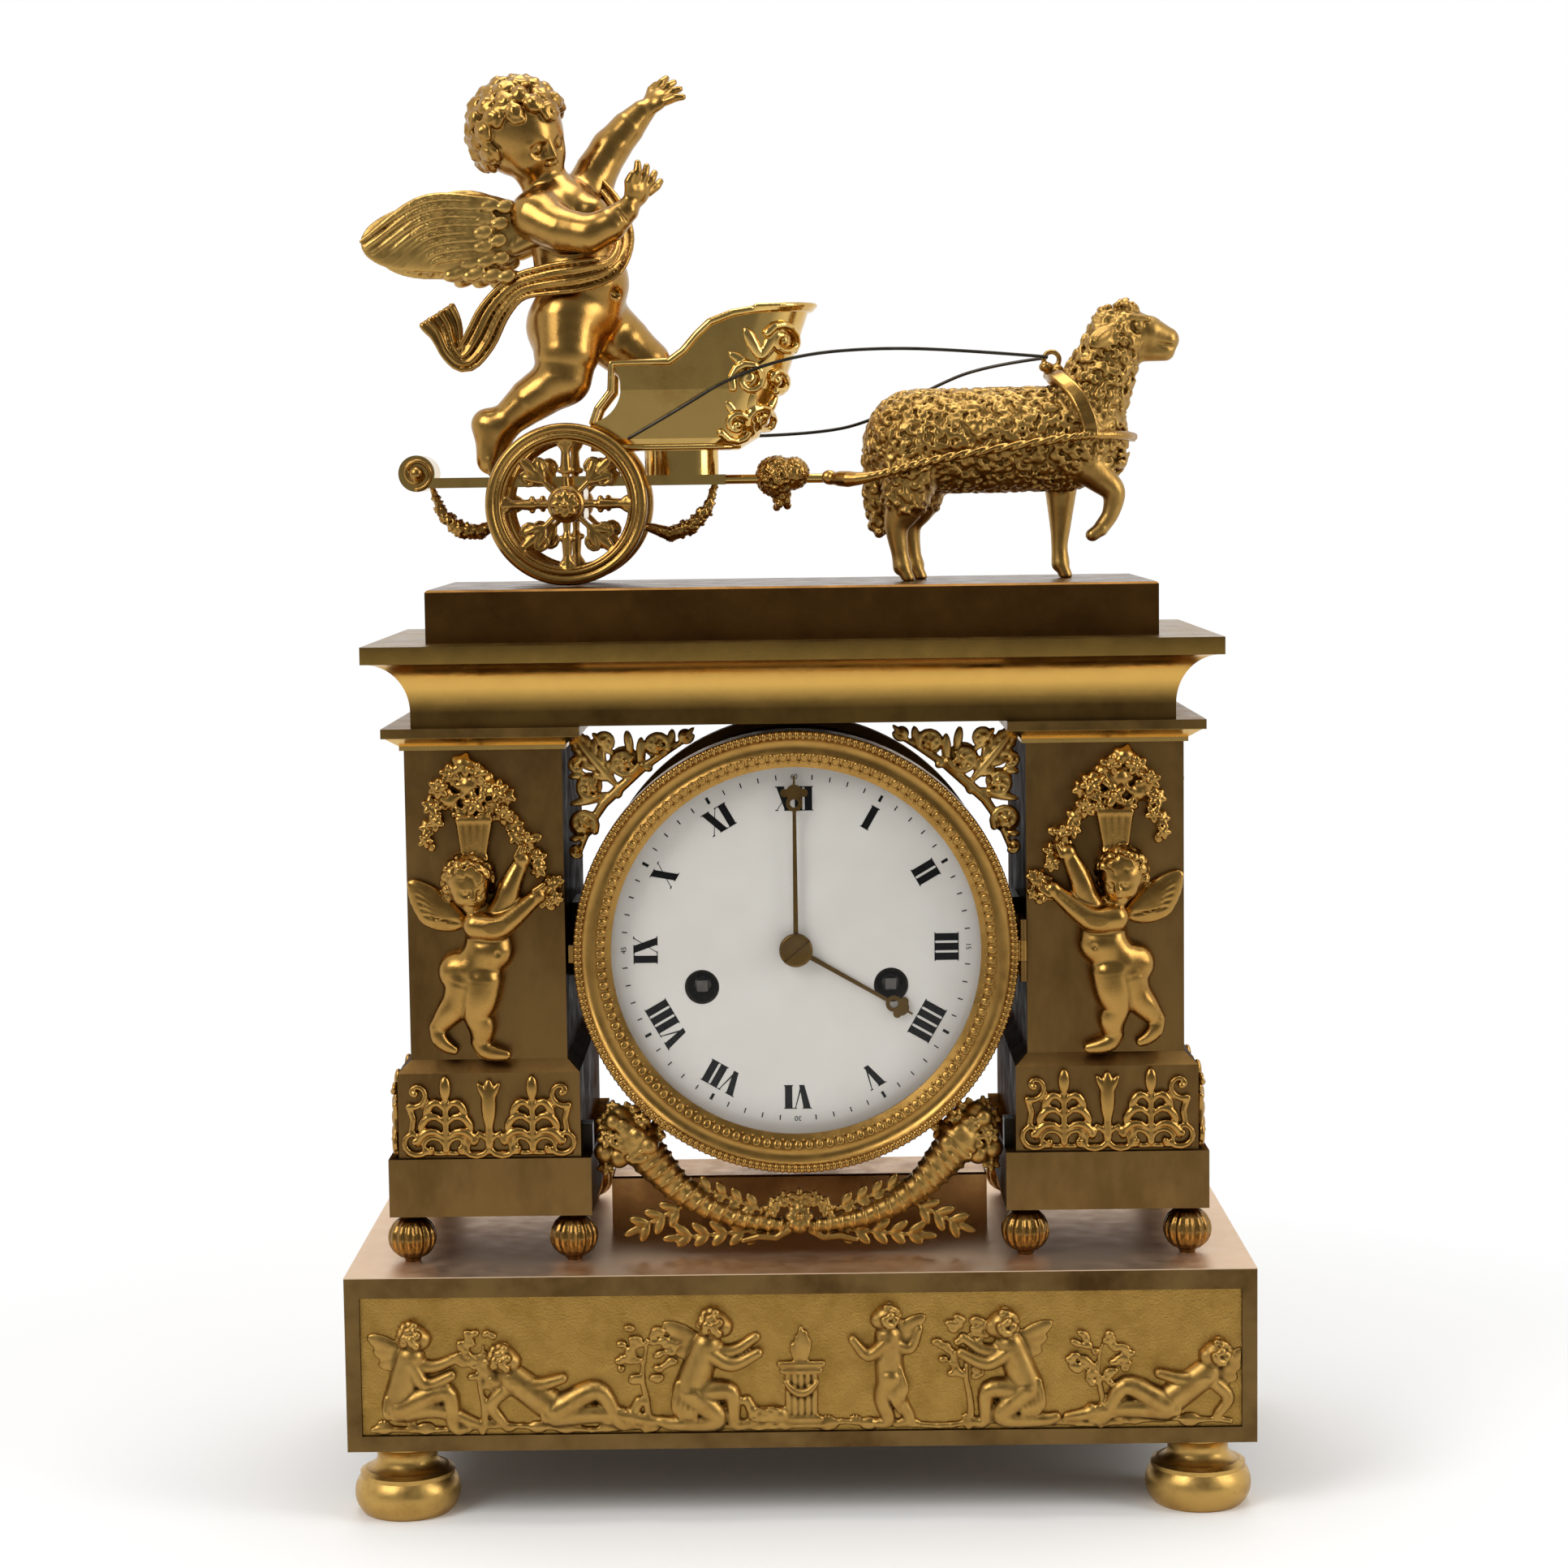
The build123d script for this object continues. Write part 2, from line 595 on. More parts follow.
KNUCKLE_LOW = DIAL_Z - HINGE_KNUCKLE_LENGTH / 2
KNUCKLE_HIGH = DIAL_Z + HINGE_KNUCKLE_LENGTH / 2
FIXED_KNUCKLES = (
    (KNUCKLE_LOW - HINGE_KNUCKLE_LENGTH, KNUCKLE_LOW - FIT_GAP),
    (KNUCKLE_HIGH + FIT_GAP, KNUCKLE_HIGH + HINGE_KNUCKLE_LENGTH),
)
FRONT_FLANGE_MIDDLE = FLANGE_FRONT + FLANGE_THICKNESS / 2
REAR_FLANGE_MIDDLE = DRUM_BACK - FLANGE_THICKNESS / 2

with BuildPart() as drum_case:
    disc(DRUM_BACK, 0, DIAL_Z, DRUM_RADIUS, DRUM_BACK - FLANGE_FRONT)
    disc(FLANGE_FRONT + FLANGE_THICKNESS, 0, DIAL_Z, FLANGE_RADIUS, FLANGE_THICKNESS)
    disc(DRUM_BACK, 0, DIAL_Z, FLANGE_RADIUS, FLANGE_THICKNESS)
    for low, high in FIXED_KNUCKLES:
        leaf(HINGE_X, FRONT_FLANGE_MIDDLE, HINGE_Y, low, high, -1)
        knuckle(HINGE_X, HINGE_Y, low, high, HINGE_KNUCKLE_RADIUS, 0)
        leaf(REAR_HINGE_X, REAR_FLANGE_MIDDLE, REAR_HINGE_Y, low, high, 1)
        knuckle(REAR_HINGE_X, REAR_HINGE_Y, low, high, HINGE_KNUCKLE_RADIUS, 0)
        for pin_x, pin_y in ((HINGE_X, HINGE_Y), (REAR_HINGE_X, REAR_HINGE_Y)):
            knuckle(pin_x, pin_y, low, high, HINGE_PIN_RADIUS, 0, Mode.SUBTRACT)
    disc(DRUM_BACK + OVERRUN, 0, DIAL_Z, FLANGE_BORE, DRUM_BACK - FLANGE_FRONT + 2 * OVERRUN, Mode.SUBTRACT)
    disc(
        DRUM_BACK - FLANGE_THICKNESS,
        0,
        DIAL_Z,
        DRUM_RADIUS - DRUM_WALL,
        DRUM_BACK - FLANGE_FRONT - 2 * FLANGE_THICKNESS,
        Mode.SUBTRACT,
    )
    bore_depth = FLANGE_THICKNESS + 2 * OVERRUN
    disc(DRUM_BACK + OVERRUN, 0, DIAL_Z, DRUM_RADIUS - DRUM_WALL, bore_depth, Mode.SUBTRACT)
keep(drum_case, "drum_case")

with BuildPart() as hinge_pins:
    for pin_x, pin_y in ((HINGE_X, HINGE_Y), (REAR_HINGE_X, REAR_HINGE_Y)):
        knuckle(pin_x, pin_y, FIXED_KNUCKLES[0][0], FIXED_KNUCKLES[1][1], HINGE_PIN_RADIUS, 0)
keep(hinge_pins, "hinge_pins")

# Brackets that hold the drum between the shafts and the horn mount between the pedestals
SHAFT_INNER = PILLAR_X - SHAFT_WIDTH / 2
PEDESTAL_INNER = PILLAR_X - PEDESTAL_WIDTH / 2
HORN_Y = -DRUM_FRONT - FLANGE_THICKNESS
HORN_BRACKET_LOW = PEDESTAL_BOTTOM
HORN_BRACKET_HIGH = PEDESTAL_BOTTOM + PEDESTAL_HEIGHT / 3

with BuildPart() as drum_brackets:
    for side in SIDES.values():
        arm = sorted((side * (DRUM_RADIUS - OVERRUN), side * SHAFT_INNER))
        upright_block(
            *arm,
            -BRACKET_DEPTH / 2,
            BRACKET_DEPTH / 2,
            DIAL_Z - BRACKET_HEIGHT / 2,
            DIAL_Z + BRACKET_HEIGHT / 2,
        )
        horn_arm = sorted((side * (HORN_SPREAD + SEAT_GAP), side * PEDESTAL_INNER))
        horn_span = (HORN_Y - HORN_DEPTH / 2, HORN_Y + HORN_DEPTH)
        upright_block(*horn_arm, *horn_span, HORN_BRACKET_LOW, HORN_BRACKET_HIGH)
    disc(BRACKET_DEPTH, 0, DIAL_Z, DRUM_RADIUS + FIT_GAP, 2 * BRACKET_DEPTH, Mode.SUBTRACT)
keep(drum_brackets, "drum_brackets")

# Front bezel: beaded outer ring, hollow, leaf ring and the lip that holds the glass
GLASS_RADIUS = BEZEL_SIGHT_RADIUS + GLASS_LIP
bezel_bead_share = 0.20
bezel_hollow_share = 0.45
bezel_leaf_share = 0.62
bezel_hollow_depth_share = 0.18
bezel_lip_depth_share = 0.33
bezel_rebate_share = 0.42


def bezel_radius(share):
    """A radius of the bezel, as a share of its width from the outside in."""
    return BEZEL_RADIUS - share * (BEZEL_RADIUS - BEZEL_SIGHT_RADIUS)


bezel_bead_in = bezel_radius(bezel_bead_share)
bezel_hollow_y = BEZEL_FRONT + bezel_hollow_depth_share * BEZEL_DEPTH
bezel_lip_y = BEZEL_FRONT + bezel_lip_depth_share * BEZEL_DEPTH
bezel_rebate_y = BEZEL_FRONT + bezel_rebate_share * BEZEL_DEPTH
bezel_bead_y = BEZEL_FRONT + (BEZEL_RADIUS - bezel_bead_in) / 2

with BuildPart() as bezel:
    with BuildSketch(Plane.XY.offset(DIAL_Z)):
        with BuildLine():
            Line((BEZEL_RADIUS, BEZEL_BACK), (BEZEL_RADIUS, bezel_bead_y))
            ThreePointArc(
                (BEZEL_RADIUS, bezel_bead_y),
                ((BEZEL_RADIUS + bezel_bead_in) / 2, BEZEL_FRONT),
                (bezel_bead_in, bezel_bead_y),
            )
            ThreePointArc(
                (bezel_bead_in, bezel_bead_y),
                (bezel_radius(bezel_hollow_share), bezel_hollow_y + (bezel_bead_y - BEZEL_FRONT) / 2),
                (bezel_radius(bezel_leaf_share), bezel_hollow_y),
            )
            Polyline(
                (bezel_radius(bezel_leaf_share), bezel_hollow_y),
                (BEZEL_SIGHT_RADIUS, bezel_lip_y),
                (BEZEL_SIGHT_RADIUS, bezel_rebate_y),
                (GLASS_RADIUS + FIT_GAP, bezel_rebate_y),
                (GLASS_RADIUS + FIT_GAP, bezel_rebate_y + GLASS_THICKNESS),
                (DIAL_RADIUS + GLASS_LIP, bezel_rebate_y + GLASS_THICKNESS),
                (DIAL_RADIUS + GLASS_LIP, BEZEL_BACK),
                (BEZEL_RADIUS, BEZEL_BACK),
            )
        make_face()
    revolve(axis=MOVEMENT_AXIS)
    knuckle(HINGE_X, HINGE_Y, KNUCKLE_LOW, KNUCKLE_HIGH, HINGE_KNUCKLE_RADIUS, 0)
    upright_block(
        BEZEL_RADIUS - OVERRUN,
        HINGE_X,
        HINGE_Y - LEAF_THICKNESS / 2,
        HINGE_Y + LEAF_THICKNESS / 2,
        KNUCKLE_LOW,
        KNUCKLE_HIGH,
    )
    knuckle(HINGE_X, HINGE_Y, KNUCKLE_LOW, KNUCKLE_HIGH, HINGE_PIN_RADIUS + RUN_GAP, 0, Mode.SUBTRACT)
    upright_block(
        -BEZEL_RADIUS - TAB_LENGTH,
        -BEZEL_RADIUS + OVERRUN,
        bezel_lip_y,
        bezel_lip_y + TAB_THICKNESS,
        DIAL_Z - TAB_HEIGHT / 2,
        DIAL_Z + TAB_HEIGHT / 2,
    )
keep(bezel, "bezel")

with BuildPart() as bezel_glass:
    with BuildSketch(Plane.XY.offset(DIAL_Z)):
        with BuildLine():
            glass_sphere = (BEZEL_SIGHT_RADIUS**2 + GLASS_SAG**2) / (2 * GLASS_SAG)
            sight = BEZEL_SIGHT_RADIUS - FIT_GAP
            half_sag = sqrt(glass_sphere**2 - (sight / 2) ** 2) - glass_sphere
            edge_sag = sqrt(glass_sphere**2 - sight**2) - glass_sphere
            crown = bezel_rebate_y + edge_sag
            inner = crown + GLASS_THICKNESS
            Polyline(
                (0, inner),
                (0, crown),
            )
            ThreePointArc((0, crown), (sight / 2, crown - half_sag), (sight, crown - edge_sag))
            Polyline(
                (sight, crown - edge_sag),
                (GLASS_RADIUS, bezel_rebate_y),
                (GLASS_RADIUS, bezel_rebate_y + GLASS_THICKNESS),
                (sight, inner - edge_sag),
            )
            ThreePointArc((sight, inner - edge_sag), (sight / 2, inner - half_sag), (0, inner))
        make_face()
    revolve(axis=MOVEMENT_AXIS)
keep(bezel_glass, "bezel_glass")

# Rear door: a spun cover with a turned rim, hung at the drum's left
REAR_DOOR_FRONT = DRUM_BACK + BEZEL_GAP
rear_rim_share = 0.90
rear_boss_share = 0.12

with BuildPart() as rear_door:
    with BuildSketch(Plane.XY.offset(DIAL_Z)):
        with BuildLine():
            Polyline(
                (0, REAR_DOOR_FRONT),
                (FLANGE_RADIUS, REAR_DOOR_FRONT),
                (FLANGE_RADIUS, REAR_DOOR_FRONT + REAR_DOOR_RIM),
                (rear_rim_share * FLANGE_RADIUS, REAR_DOOR_FRONT + REAR_DOOR_RIM),
                (rear_rim_share * FLANGE_RADIUS - REAR_DOOR_RIM / 2, REAR_DOOR_FRONT + REAR_DOOR_THICKNESS),
                (rear_boss_share * FLANGE_RADIUS, REAR_DOOR_FRONT + REAR_DOOR_THICKNESS),
                (rear_boss_share * FLANGE_RADIUS / 2, REAR_DOOR_FRONT + REAR_DOOR_RIM),
                (0, REAR_DOOR_FRONT + REAR_DOOR_RIM),
                close=True,
            )
        make_face()
    revolve(axis=MOVEMENT_AXIS)
    knuckle(REAR_HINGE_X, REAR_HINGE_Y, KNUCKLE_LOW, KNUCKLE_HIGH, HINGE_KNUCKLE_RADIUS, 0)
    upright_block(
        REAR_HINGE_X,
        OVERRUN - FLANGE_RADIUS,
        REAR_HINGE_Y - LEAF_THICKNESS / 2,
        REAR_HINGE_Y + LEAF_THICKNESS / 2,
        KNUCKLE_LOW,
        KNUCKLE_HIGH,
    )
    knuckle(
        REAR_HINGE_X, REAR_HINGE_Y, KNUCKLE_LOW, KNUCKLE_HIGH, HINGE_PIN_RADIUS + RUN_GAP, 0, Mode.SUBTRACT
    )
keep(rear_door, "rear_door")

# Dial: a low-domed enamel disc on three feet
WINDING_Z = DIAL_Z - WINDING_HOLE_DROP
DIAL_FOOT_ANGLES = (60.0, 150.0, 270.0)

with BuildPart() as dial:
    with BuildSketch(Plane.XY.offset(DIAL_Z)):
        with BuildLine():
            dial_sphere = (DIAL_RADIUS**2 + DIAL_DOME**2) / (2 * DIAL_DOME)
            dial_half_sag = dial_sphere - sqrt(dial_sphere**2 - (DIAL_RADIUS / 2) ** 2)
            Line((0, FLANGE_FRONT), (0, DIAL_FACE))
            ThreePointArc(
                (0, DIAL_FACE),
                (DIAL_RADIUS / 2, DIAL_FACE + dial_half_sag),
                (DIAL_RADIUS, DIAL_FACE + DIAL_DOME),
            )
            Polyline((DIAL_RADIUS, DIAL_FACE + DIAL_DOME), (DIAL_RADIUS, FLANGE_FRONT), (0, FLANGE_FRONT))
        make_face()
    revolve(axis=MOVEMENT_AXIS)
    for angle in DIAL_FOOT_ANGLES:
        foot_x = DIAL_FOOT_CIRCLE * cos(radians(angle))
        foot_z = DIAL_Z + DIAL_FOOT_CIRCLE * sin(radians(angle))
        disc(FRONT_PLATE_FRONT, foot_x, foot_z, DIAL_FOOT_RADIUS, MOTION_SPACE)
    disc(FLANGE_FRONT + OVERRUN, 0, DIAL_Z, DIAL_BORE, 3 * OVERRUN, Mode.SUBTRACT)
    for side in SIDES.values():
        hole_x = side * WINDING_HOLE_SPREAD
        disc(FLANGE_FRONT + OVERRUN, hole_x, WINDING_Z, WINDING_HOLE_RADIUS, 3 * OVERRUN, Mode.SUBTRACT)
keep(dial, "dial")

# Hands: a long shank with a pierced ring and side leaves near its point
hand_ring_share = 0.84
hand_leaf_share = 0.90
hand_leaf_spread_share = 0.055


def hand(back, length, clock_angle, bore):
    """A hand that lies flat, pointing along a clock angle in degrees from twelve."""
    turn = radians(clock_angle)
    plane = Plane(origin=(0, back, DIAL_Z), x_dir=(sin(turn), 0, cos(turn)), z_dir=(0, -1, 0))
    ring_at = hand_ring_share * length
    with BuildSketch(plane) as outline:
        Circle(HAND_BOSS_RADIUS)
        with BuildLine():
            Polyline(
                (0, HAND_SHANK_WIDTH / 2),
                (ring_at, HAND_SHANK_WIDTH / 3),
                (length, HAND_TIP_WIDTH / 2),
                (length, -HAND_TIP_WIDTH / 2),
                (ring_at, -HAND_SHANK_WIDTH / 3),
                (0, -HAND_SHANK_WIDTH / 2),
                close=True,
            )
        make_face()
        for aside in (-1, 1):
            with Locations((hand_leaf_share * length, aside * hand_leaf_spread_share * length)):
                Circle(HAND_RING_RADIUS / 2)
        with Locations((ring_at, 0), (hand_leaf_share * length, 0)):
            Circle(HAND_RING_RADIUS)
        with Locations((ring_at, 0)):
            Circle(HAND_RING_BORE, mode=Mode.SUBTRACT)
        Circle(bore, mode=Mode.SUBTRACT)
    extrude(outline.sketch, amount=HAND_THICKNESS)


HOUR_PIPE_BORE = CANNON_RADIUS + RUN_GAP
HOUR_PIPE_RADIUS = HOUR_PIPE_BORE + HOUR_PIPE_WALL
FOUR_O_CLOCK = 120.0

with BuildPart() as minute_hand:
    hand(MINUTE_HAND_BACK, MINUTE_HAND_LENGTH, 0, CANNON_RADIUS)
keep(minute_hand, "minute_hand")

with BuildPart() as hour_hand:
    hand(HOUR_HAND_BACK, HOUR_HAND_LENGTH, FOUR_O_CLOCK, HOUR_PIPE_RADIUS)
keep(hour_hand, "hour_hand")

with BuildPart() as hand_nut:
    disc(NUT_BACK, 0, DIAL_Z, NUT_RADIUS, NUT_HEIGHT)
    fillet(hand_nut.edges().group_by(Axis.Y)[0], radius=NUT_SLOT_DEPTH)
    slot_turn = radians(FOUR_O_CLOCK / 3)
    slot_plane = Plane(
        origin=(0, NUT_BACK - NUT_HEIGHT, DIAL_Z),
        x_dir=(cos(slot_turn), 0, sin(slot_turn)),
        z_dir=(0, -1, 0),
    )
    with BuildSketch(slot_plane):
        Rectangle(2 * NUT_RADIUS + OVERRUN, NUT_SLOT_WIDTH)
    extrude(amount=-NUT_SLOT_DEPTH, mode=Mode.SUBTRACT)
keep(hand_nut, "hand_nut")

# Movement plates and their pillars
MINUTE_STUD_Z = DIAL_Z + MOTION_CENTRES
STUD_LENGTH = MOTION_SPACE - OVERRUN / 2
PLATE_PILLAR_ANGLES = (65.0, 115.0, 260.0, 280.0)
FRONT_PLATE_RADIUS = DRUM_RADIUS - DRUM_WALL - SEAT_GAP
SUSPENSION_Z = DIAL_Z + SUSPENSION_RISE
PENDULUM_Y = BACK_PLATE_BACK + PENDULUM_SETBACK
BELL_X = -BELL_SPREAD
BELL_Z = DIAL_Z + BELL_RISE
BELL_MOUTH = BACK_PLATE_BACK + BELL_SETBACK
HAMMER_REACH = BELL_RADIUS + HAMMER_STAND_OFF + HAMMER_HEAD_RADIUS
HAMMER_X = BELL_X + HAMMER_REACH * cos(radians(HAMMER_BEARING))
HAMMER_Z = BELL_Z + HAMMER_REACH * sin(radians(HAMMER_BEARING))
HAMMER_PIVOT_X = HAMMER_X - HAMMER_ARM * cos(radians(HAMMER_LEAN))
HAMMER_PIVOT_Z = HAMMER_Z - HAMMER_ARM * sin(radians(HAMMER_LEAN))


def plate_hole(y, x, z, radius, thickness):
    """A hole through a movement plate whose back is at y."""
    disc(y + OVERRUN, x, z, radius, thickness + 2 * OVERRUN, Mode.SUBTRACT)


with BuildPart() as front_plate:
    disc(FRONT_PLATE_BACK, 0, DIAL_Z, FRONT_PLATE_RADIUS, FRONT_PLATE_THICKNESS)
    disc(FRONT_PLATE_FRONT, 0, MINUTE_STUD_Z, PIVOT_RADIUS, STUD_LENGTH)
    plate_hole(FRONT_PLATE_BACK, 0, DIAL_Z, CENTRE_ARBOR_RADIUS + RUN_GAP, FRONT_PLATE_THICKNESS)
    plate_hole(FRONT_PLATE_BACK, 0, SUSPENSION_Z, PIVOT_RADIUS + RUN_GAP, FRONT_PLATE_THICKNESS)
    for side in SIDES.values():
        hole_x = side * WINDING_HOLE_SPREAD
        winding_bore = WINDING_ARBOR_RADIUS + RUN_GAP
        plate_hole(FRONT_PLATE_BACK, hole_x, WINDING_Z, winding_bore, FRONT_PLATE_THICKNESS)
keep(front_plate, "front_plate")

with BuildPart() as back_plate:
    disc(BACK_PLATE_BACK, 0, DIAL_Z, BACK_PLATE_RADIUS, BACK_PLATE_THICKNESS)
    upright_block(
        -COCK_WIDTH / 2,
        COCK_WIDTH / 2,
        BACK_PLATE_BACK - BACK_PLATE_THICKNESS / 2,
        BACK_PLATE_BACK + COCK_LENGTH,
        SUSPENSION_Z + PIVOT_RADIUS + SEAT_GAP,
        SUSPENSION_Z + PIVOT_RADIUS + SEAT_GAP + COCK_HEIGHT,
    )
    plate_hole(BACK_PLATE_BACK, 0, DIAL_Z, PIVOT_RADIUS + RUN_GAP, BACK_PLATE_THICKNESS)
    plate_hole(BACK_PLATE_BACK, 0, SUSPENSION_Z, PIVOT_RADIUS + RUN_GAP, BACK_PLATE_THICKNESS)
    plate_hole(BACK_PLATE_BACK, HAMMER_PIVOT_X, HAMMER_PIVOT_Z, PIVOT_RADIUS + RUN_GAP, BACK_PLATE_THICKNESS)
    for side in SIDES.values():
        hole_x = side * WINDING_HOLE_SPREAD
        plate_hole(BACK_PLATE_BACK, hole_x, WINDING_Z, PIVOT_RADIUS + RUN_GAP, BACK_PLATE_THICKNESS)
keep(back_plate, "back_plate")

with BuildPart() as plate_pillars:
    for angle in PLATE_PILLAR_ANGLES:
        post_x = PLATE_PILLAR_CIRCLE * cos(radians(angle))
        post_z = DIAL_Z + PLATE_PILLAR_CIRCLE * sin(radians(angle))
        disc(BACK_PLATE_FRONT, post_x, post_z, PLATE_PILLAR_RADIUS, PLATE_GAP)
keep(plate_pillars, "plate_pillars")

# Spring barrels with their toothed great wheels, and the winding arbors through them
CENTRES = sqrt(WINDING_HOLE_SPREAD**2 + WINDING_HOLE_DROP**2)
GREAT_MODULE = 2 * CENTRES / (GREAT_WHEEL_TEETH + CENTRE_PINION_TEETH)
BARREL_RADIUS = GREAT_MODULE * GREAT_WHEEL_TEETH / 2 - BARREL_TOOTH_RING
GREAT_WHEEL_LEAN = degrees(atan2(WINDING_HOLE_DROP, -WINDING_HOLE_SPREAD))
BARREL_FRONT = FRONT_PLATE_BACK + OVERRUN
BARREL_BACK = BARREL_FRONT + WHEEL_THICKNESS + BARREL_LENGTH
SQUARE_FRONT = DIAL_FACE + OVERRUN

with BuildPart() as going_barrel:
    disc(BARREL_BACK, WINDING_HOLE_SPREAD, WINDING_Z, BARREL_RADIUS, BARREL_LENGTH)
    toothed(
        BARREL_FRONT + WHEEL_THICKNESS,
        WINDING_HOLE_SPREAD,
        WINDING_Z,
        GREAT_WHEEL_TEETH,
        GREAT_MODULE,
        GREAT_WHEEL_LEAN,
        WHEEL_THICKNESS,
    )
    plate_hole(BARREL_BACK, WINDING_HOLE_SPREAD, WINDING_Z, WINDING_ARBOR_RADIUS + RUN_GAP, BARREL_LENGTH)
keep(going_barrel, "going_barrel")

with BuildPart() as striking_barrel:
    disc(BARREL_BACK, -WINDING_HOLE_SPREAD, WINDING_Z, BARREL_RADIUS, BARREL_LENGTH)
    toothed(
        BARREL_BACK + WHEEL_THICKNESS,
        -WINDING_HOLE_SPREAD,
        WINDING_Z,
        GREAT_WHEEL_TEETH,
        GREAT_MODULE,
        0,
        WHEEL_THICKNESS,
    )
    plate_hole(
        BARREL_BACK + WHEEL_THICKNESS,
        -WINDING_HOLE_SPREAD,
        WINDING_Z,
        WINDING_ARBOR_RADIUS + RUN_GAP,
        BARREL_LENGTH + WHEEL_THICKNESS,
    )
keep(striking_barrel, "striking_barrel")

for arbor_name, side in (("going_arbor", 1), ("striking_arbor", -1)):
    arbor_x = side * WINDING_HOLE_SPREAD
    with BuildPart() as winding_arbor:
        disc(
            BACK_PLATE_FRONT - SEAT_GAP,
            arbor_x,
            WINDING_Z,
            WINDING_ARBOR_RADIUS,
            BACK_PLATE_FRONT - SEAT_GAP - FRONT_PLATE_FRONT + OVERRUN,
        )
        disc(BACK_PLATE_BACK, arbor_x, WINDING_Z, PIVOT_RADIUS, BACK_PLATE_THICKNESS + OVERRUN)
        with BuildSketch(facing(FRONT_PLATE_FRONT, arbor_x, WINDING_Z)) as winding_square:
            Rectangle(WINDING_SQUARE, WINDING_SQUARE)
        extrude(winding_square.sketch, amount=FRONT_PLATE_FRONT - SQUARE_FRONT)
    keep(winding_arbor, arbor_name)

# Centre arbor with its pinion and the cannon pinion, and the motion work it drives
CANNON_MODULE = 2 * MOTION_CENTRES / (CANNON_TEETH + MINUTE_WHEEL_TEETH)
HOUR_MODULE = 2 * MOTION_CENTRES / (MINUTE_PINION_TEETH + HOUR_WHEEL_TEETH)
CANNON_BACK = FRONT_PLATE_FRONT - RUN_GAP
MINUTE_WHEEL_BACK = CANNON_BACK - FIT_GAP
HOUR_WHEEL_BACK = MINUTE_WHEEL_BACK - WHEEL_THICKNESS - SEAT_GAP
HALF_TURN = 180.0
QUARTER_TURN = 90.0
CENTRE_PINION_FIRST = GREAT_WHEEL_LEAN + HALF_TURN + HALF_TURN / CENTRE_PINION_TEETH
CANNON_FIRST = QUARTER_TURN + HALF_TURN / CANNON_TEETH

with BuildPart() as centre_arbor:
    disc(
        BACK_PLATE_FRONT - SEAT_GAP,
        0,
        DIAL_Z,
        CENTRE_ARBOR_RADIUS,
        BACK_PLATE_FRONT - SEAT_GAP - FRONT_PLATE_FRONT + OVERRUN,
    )
    disc(BACK_PLATE_BACK, 0, DIAL_Z, PIVOT_RADIUS, BACK_PLATE_THICKNESS + OVERRUN)
    toothed(
        BARREL_FRONT + 2 * WHEEL_THICKNESS,
        0,
        DIAL_Z,
        CENTRE_PINION_TEETH,
        GREAT_MODULE,
        CENTRE_PINION_FIRST,
        BARREL_FRONT + 2 * WHEEL_THICKNESS - FRONT_PLATE_BACK - SEAT_GAP,
    )
    disc(CANNON_BACK, 0, DIAL_Z, CANNON_RADIUS, CANNON_BACK - NUT_BACK)
    toothed(CANNON_BACK, 0, DIAL_Z, CANNON_TEETH, CANNON_MODULE, CANNON_FIRST, WHEEL_THICKNESS)
keep(centre_arbor, "centre_arbor")

with BuildPart() as minute_wheel:
    toothed(
        MINUTE_WHEEL_BACK,
        0,
        MINUTE_STUD_Z,
        MINUTE_WHEEL_TEETH,
        CANNON_MODULE,
        -QUARTER_TURN,
        WHEEL_THICKNESS,
    )
    toothed(
        MINUTE_WHEEL_BACK - WHEEL_THICKNESS,
        0,
        MINUTE_STUD_Z,
        MINUTE_PINION_TEETH,
        HOUR_MODULE,
        -QUARTER_TURN,
        WHEEL_THICKNESS + SEAT_GAP,
    )
    plate_hole(MINUTE_WHEEL_BACK, 0, MINUTE_STUD_Z, PIVOT_RADIUS + RUN_GAP, 3 * WHEEL_THICKNESS)
keep(minute_wheel, "minute_wheel")

with BuildPart() as hour_wheel:
    toothed(
        HOUR_WHEEL_BACK,
        0,
        DIAL_Z,
        HOUR_WHEEL_TEETH,
        HOUR_MODULE,
        QUARTER_TURN + HALF_TURN / HOUR_WHEEL_TEETH,
        WHEEL_THICKNESS,
    )
    disc(HOUR_WHEEL_BACK, 0, DIAL_Z, HOUR_PIPE_RADIUS, HOUR_WHEEL_BACK - HOUR_HAND_BACK + HAND_THICKNESS)
    plate_hole(HOUR_WHEEL_BACK, 0, DIAL_Z, HOUR_PIPE_BORE, HOUR_WHEEL_BACK - HOUR_HAND_BACK + HAND_THICKNESS)
keep(hour_wheel, "hour_wheel")

# Pendulum on its cock, with the crutch that drives it
PENDULUM_TOP = SUSPENSION_Z + PIVOT_RADIUS
BOB_Z = SUSPENSION_Z - PENDULUM_LENGTH
bob_edge_share = 0.15

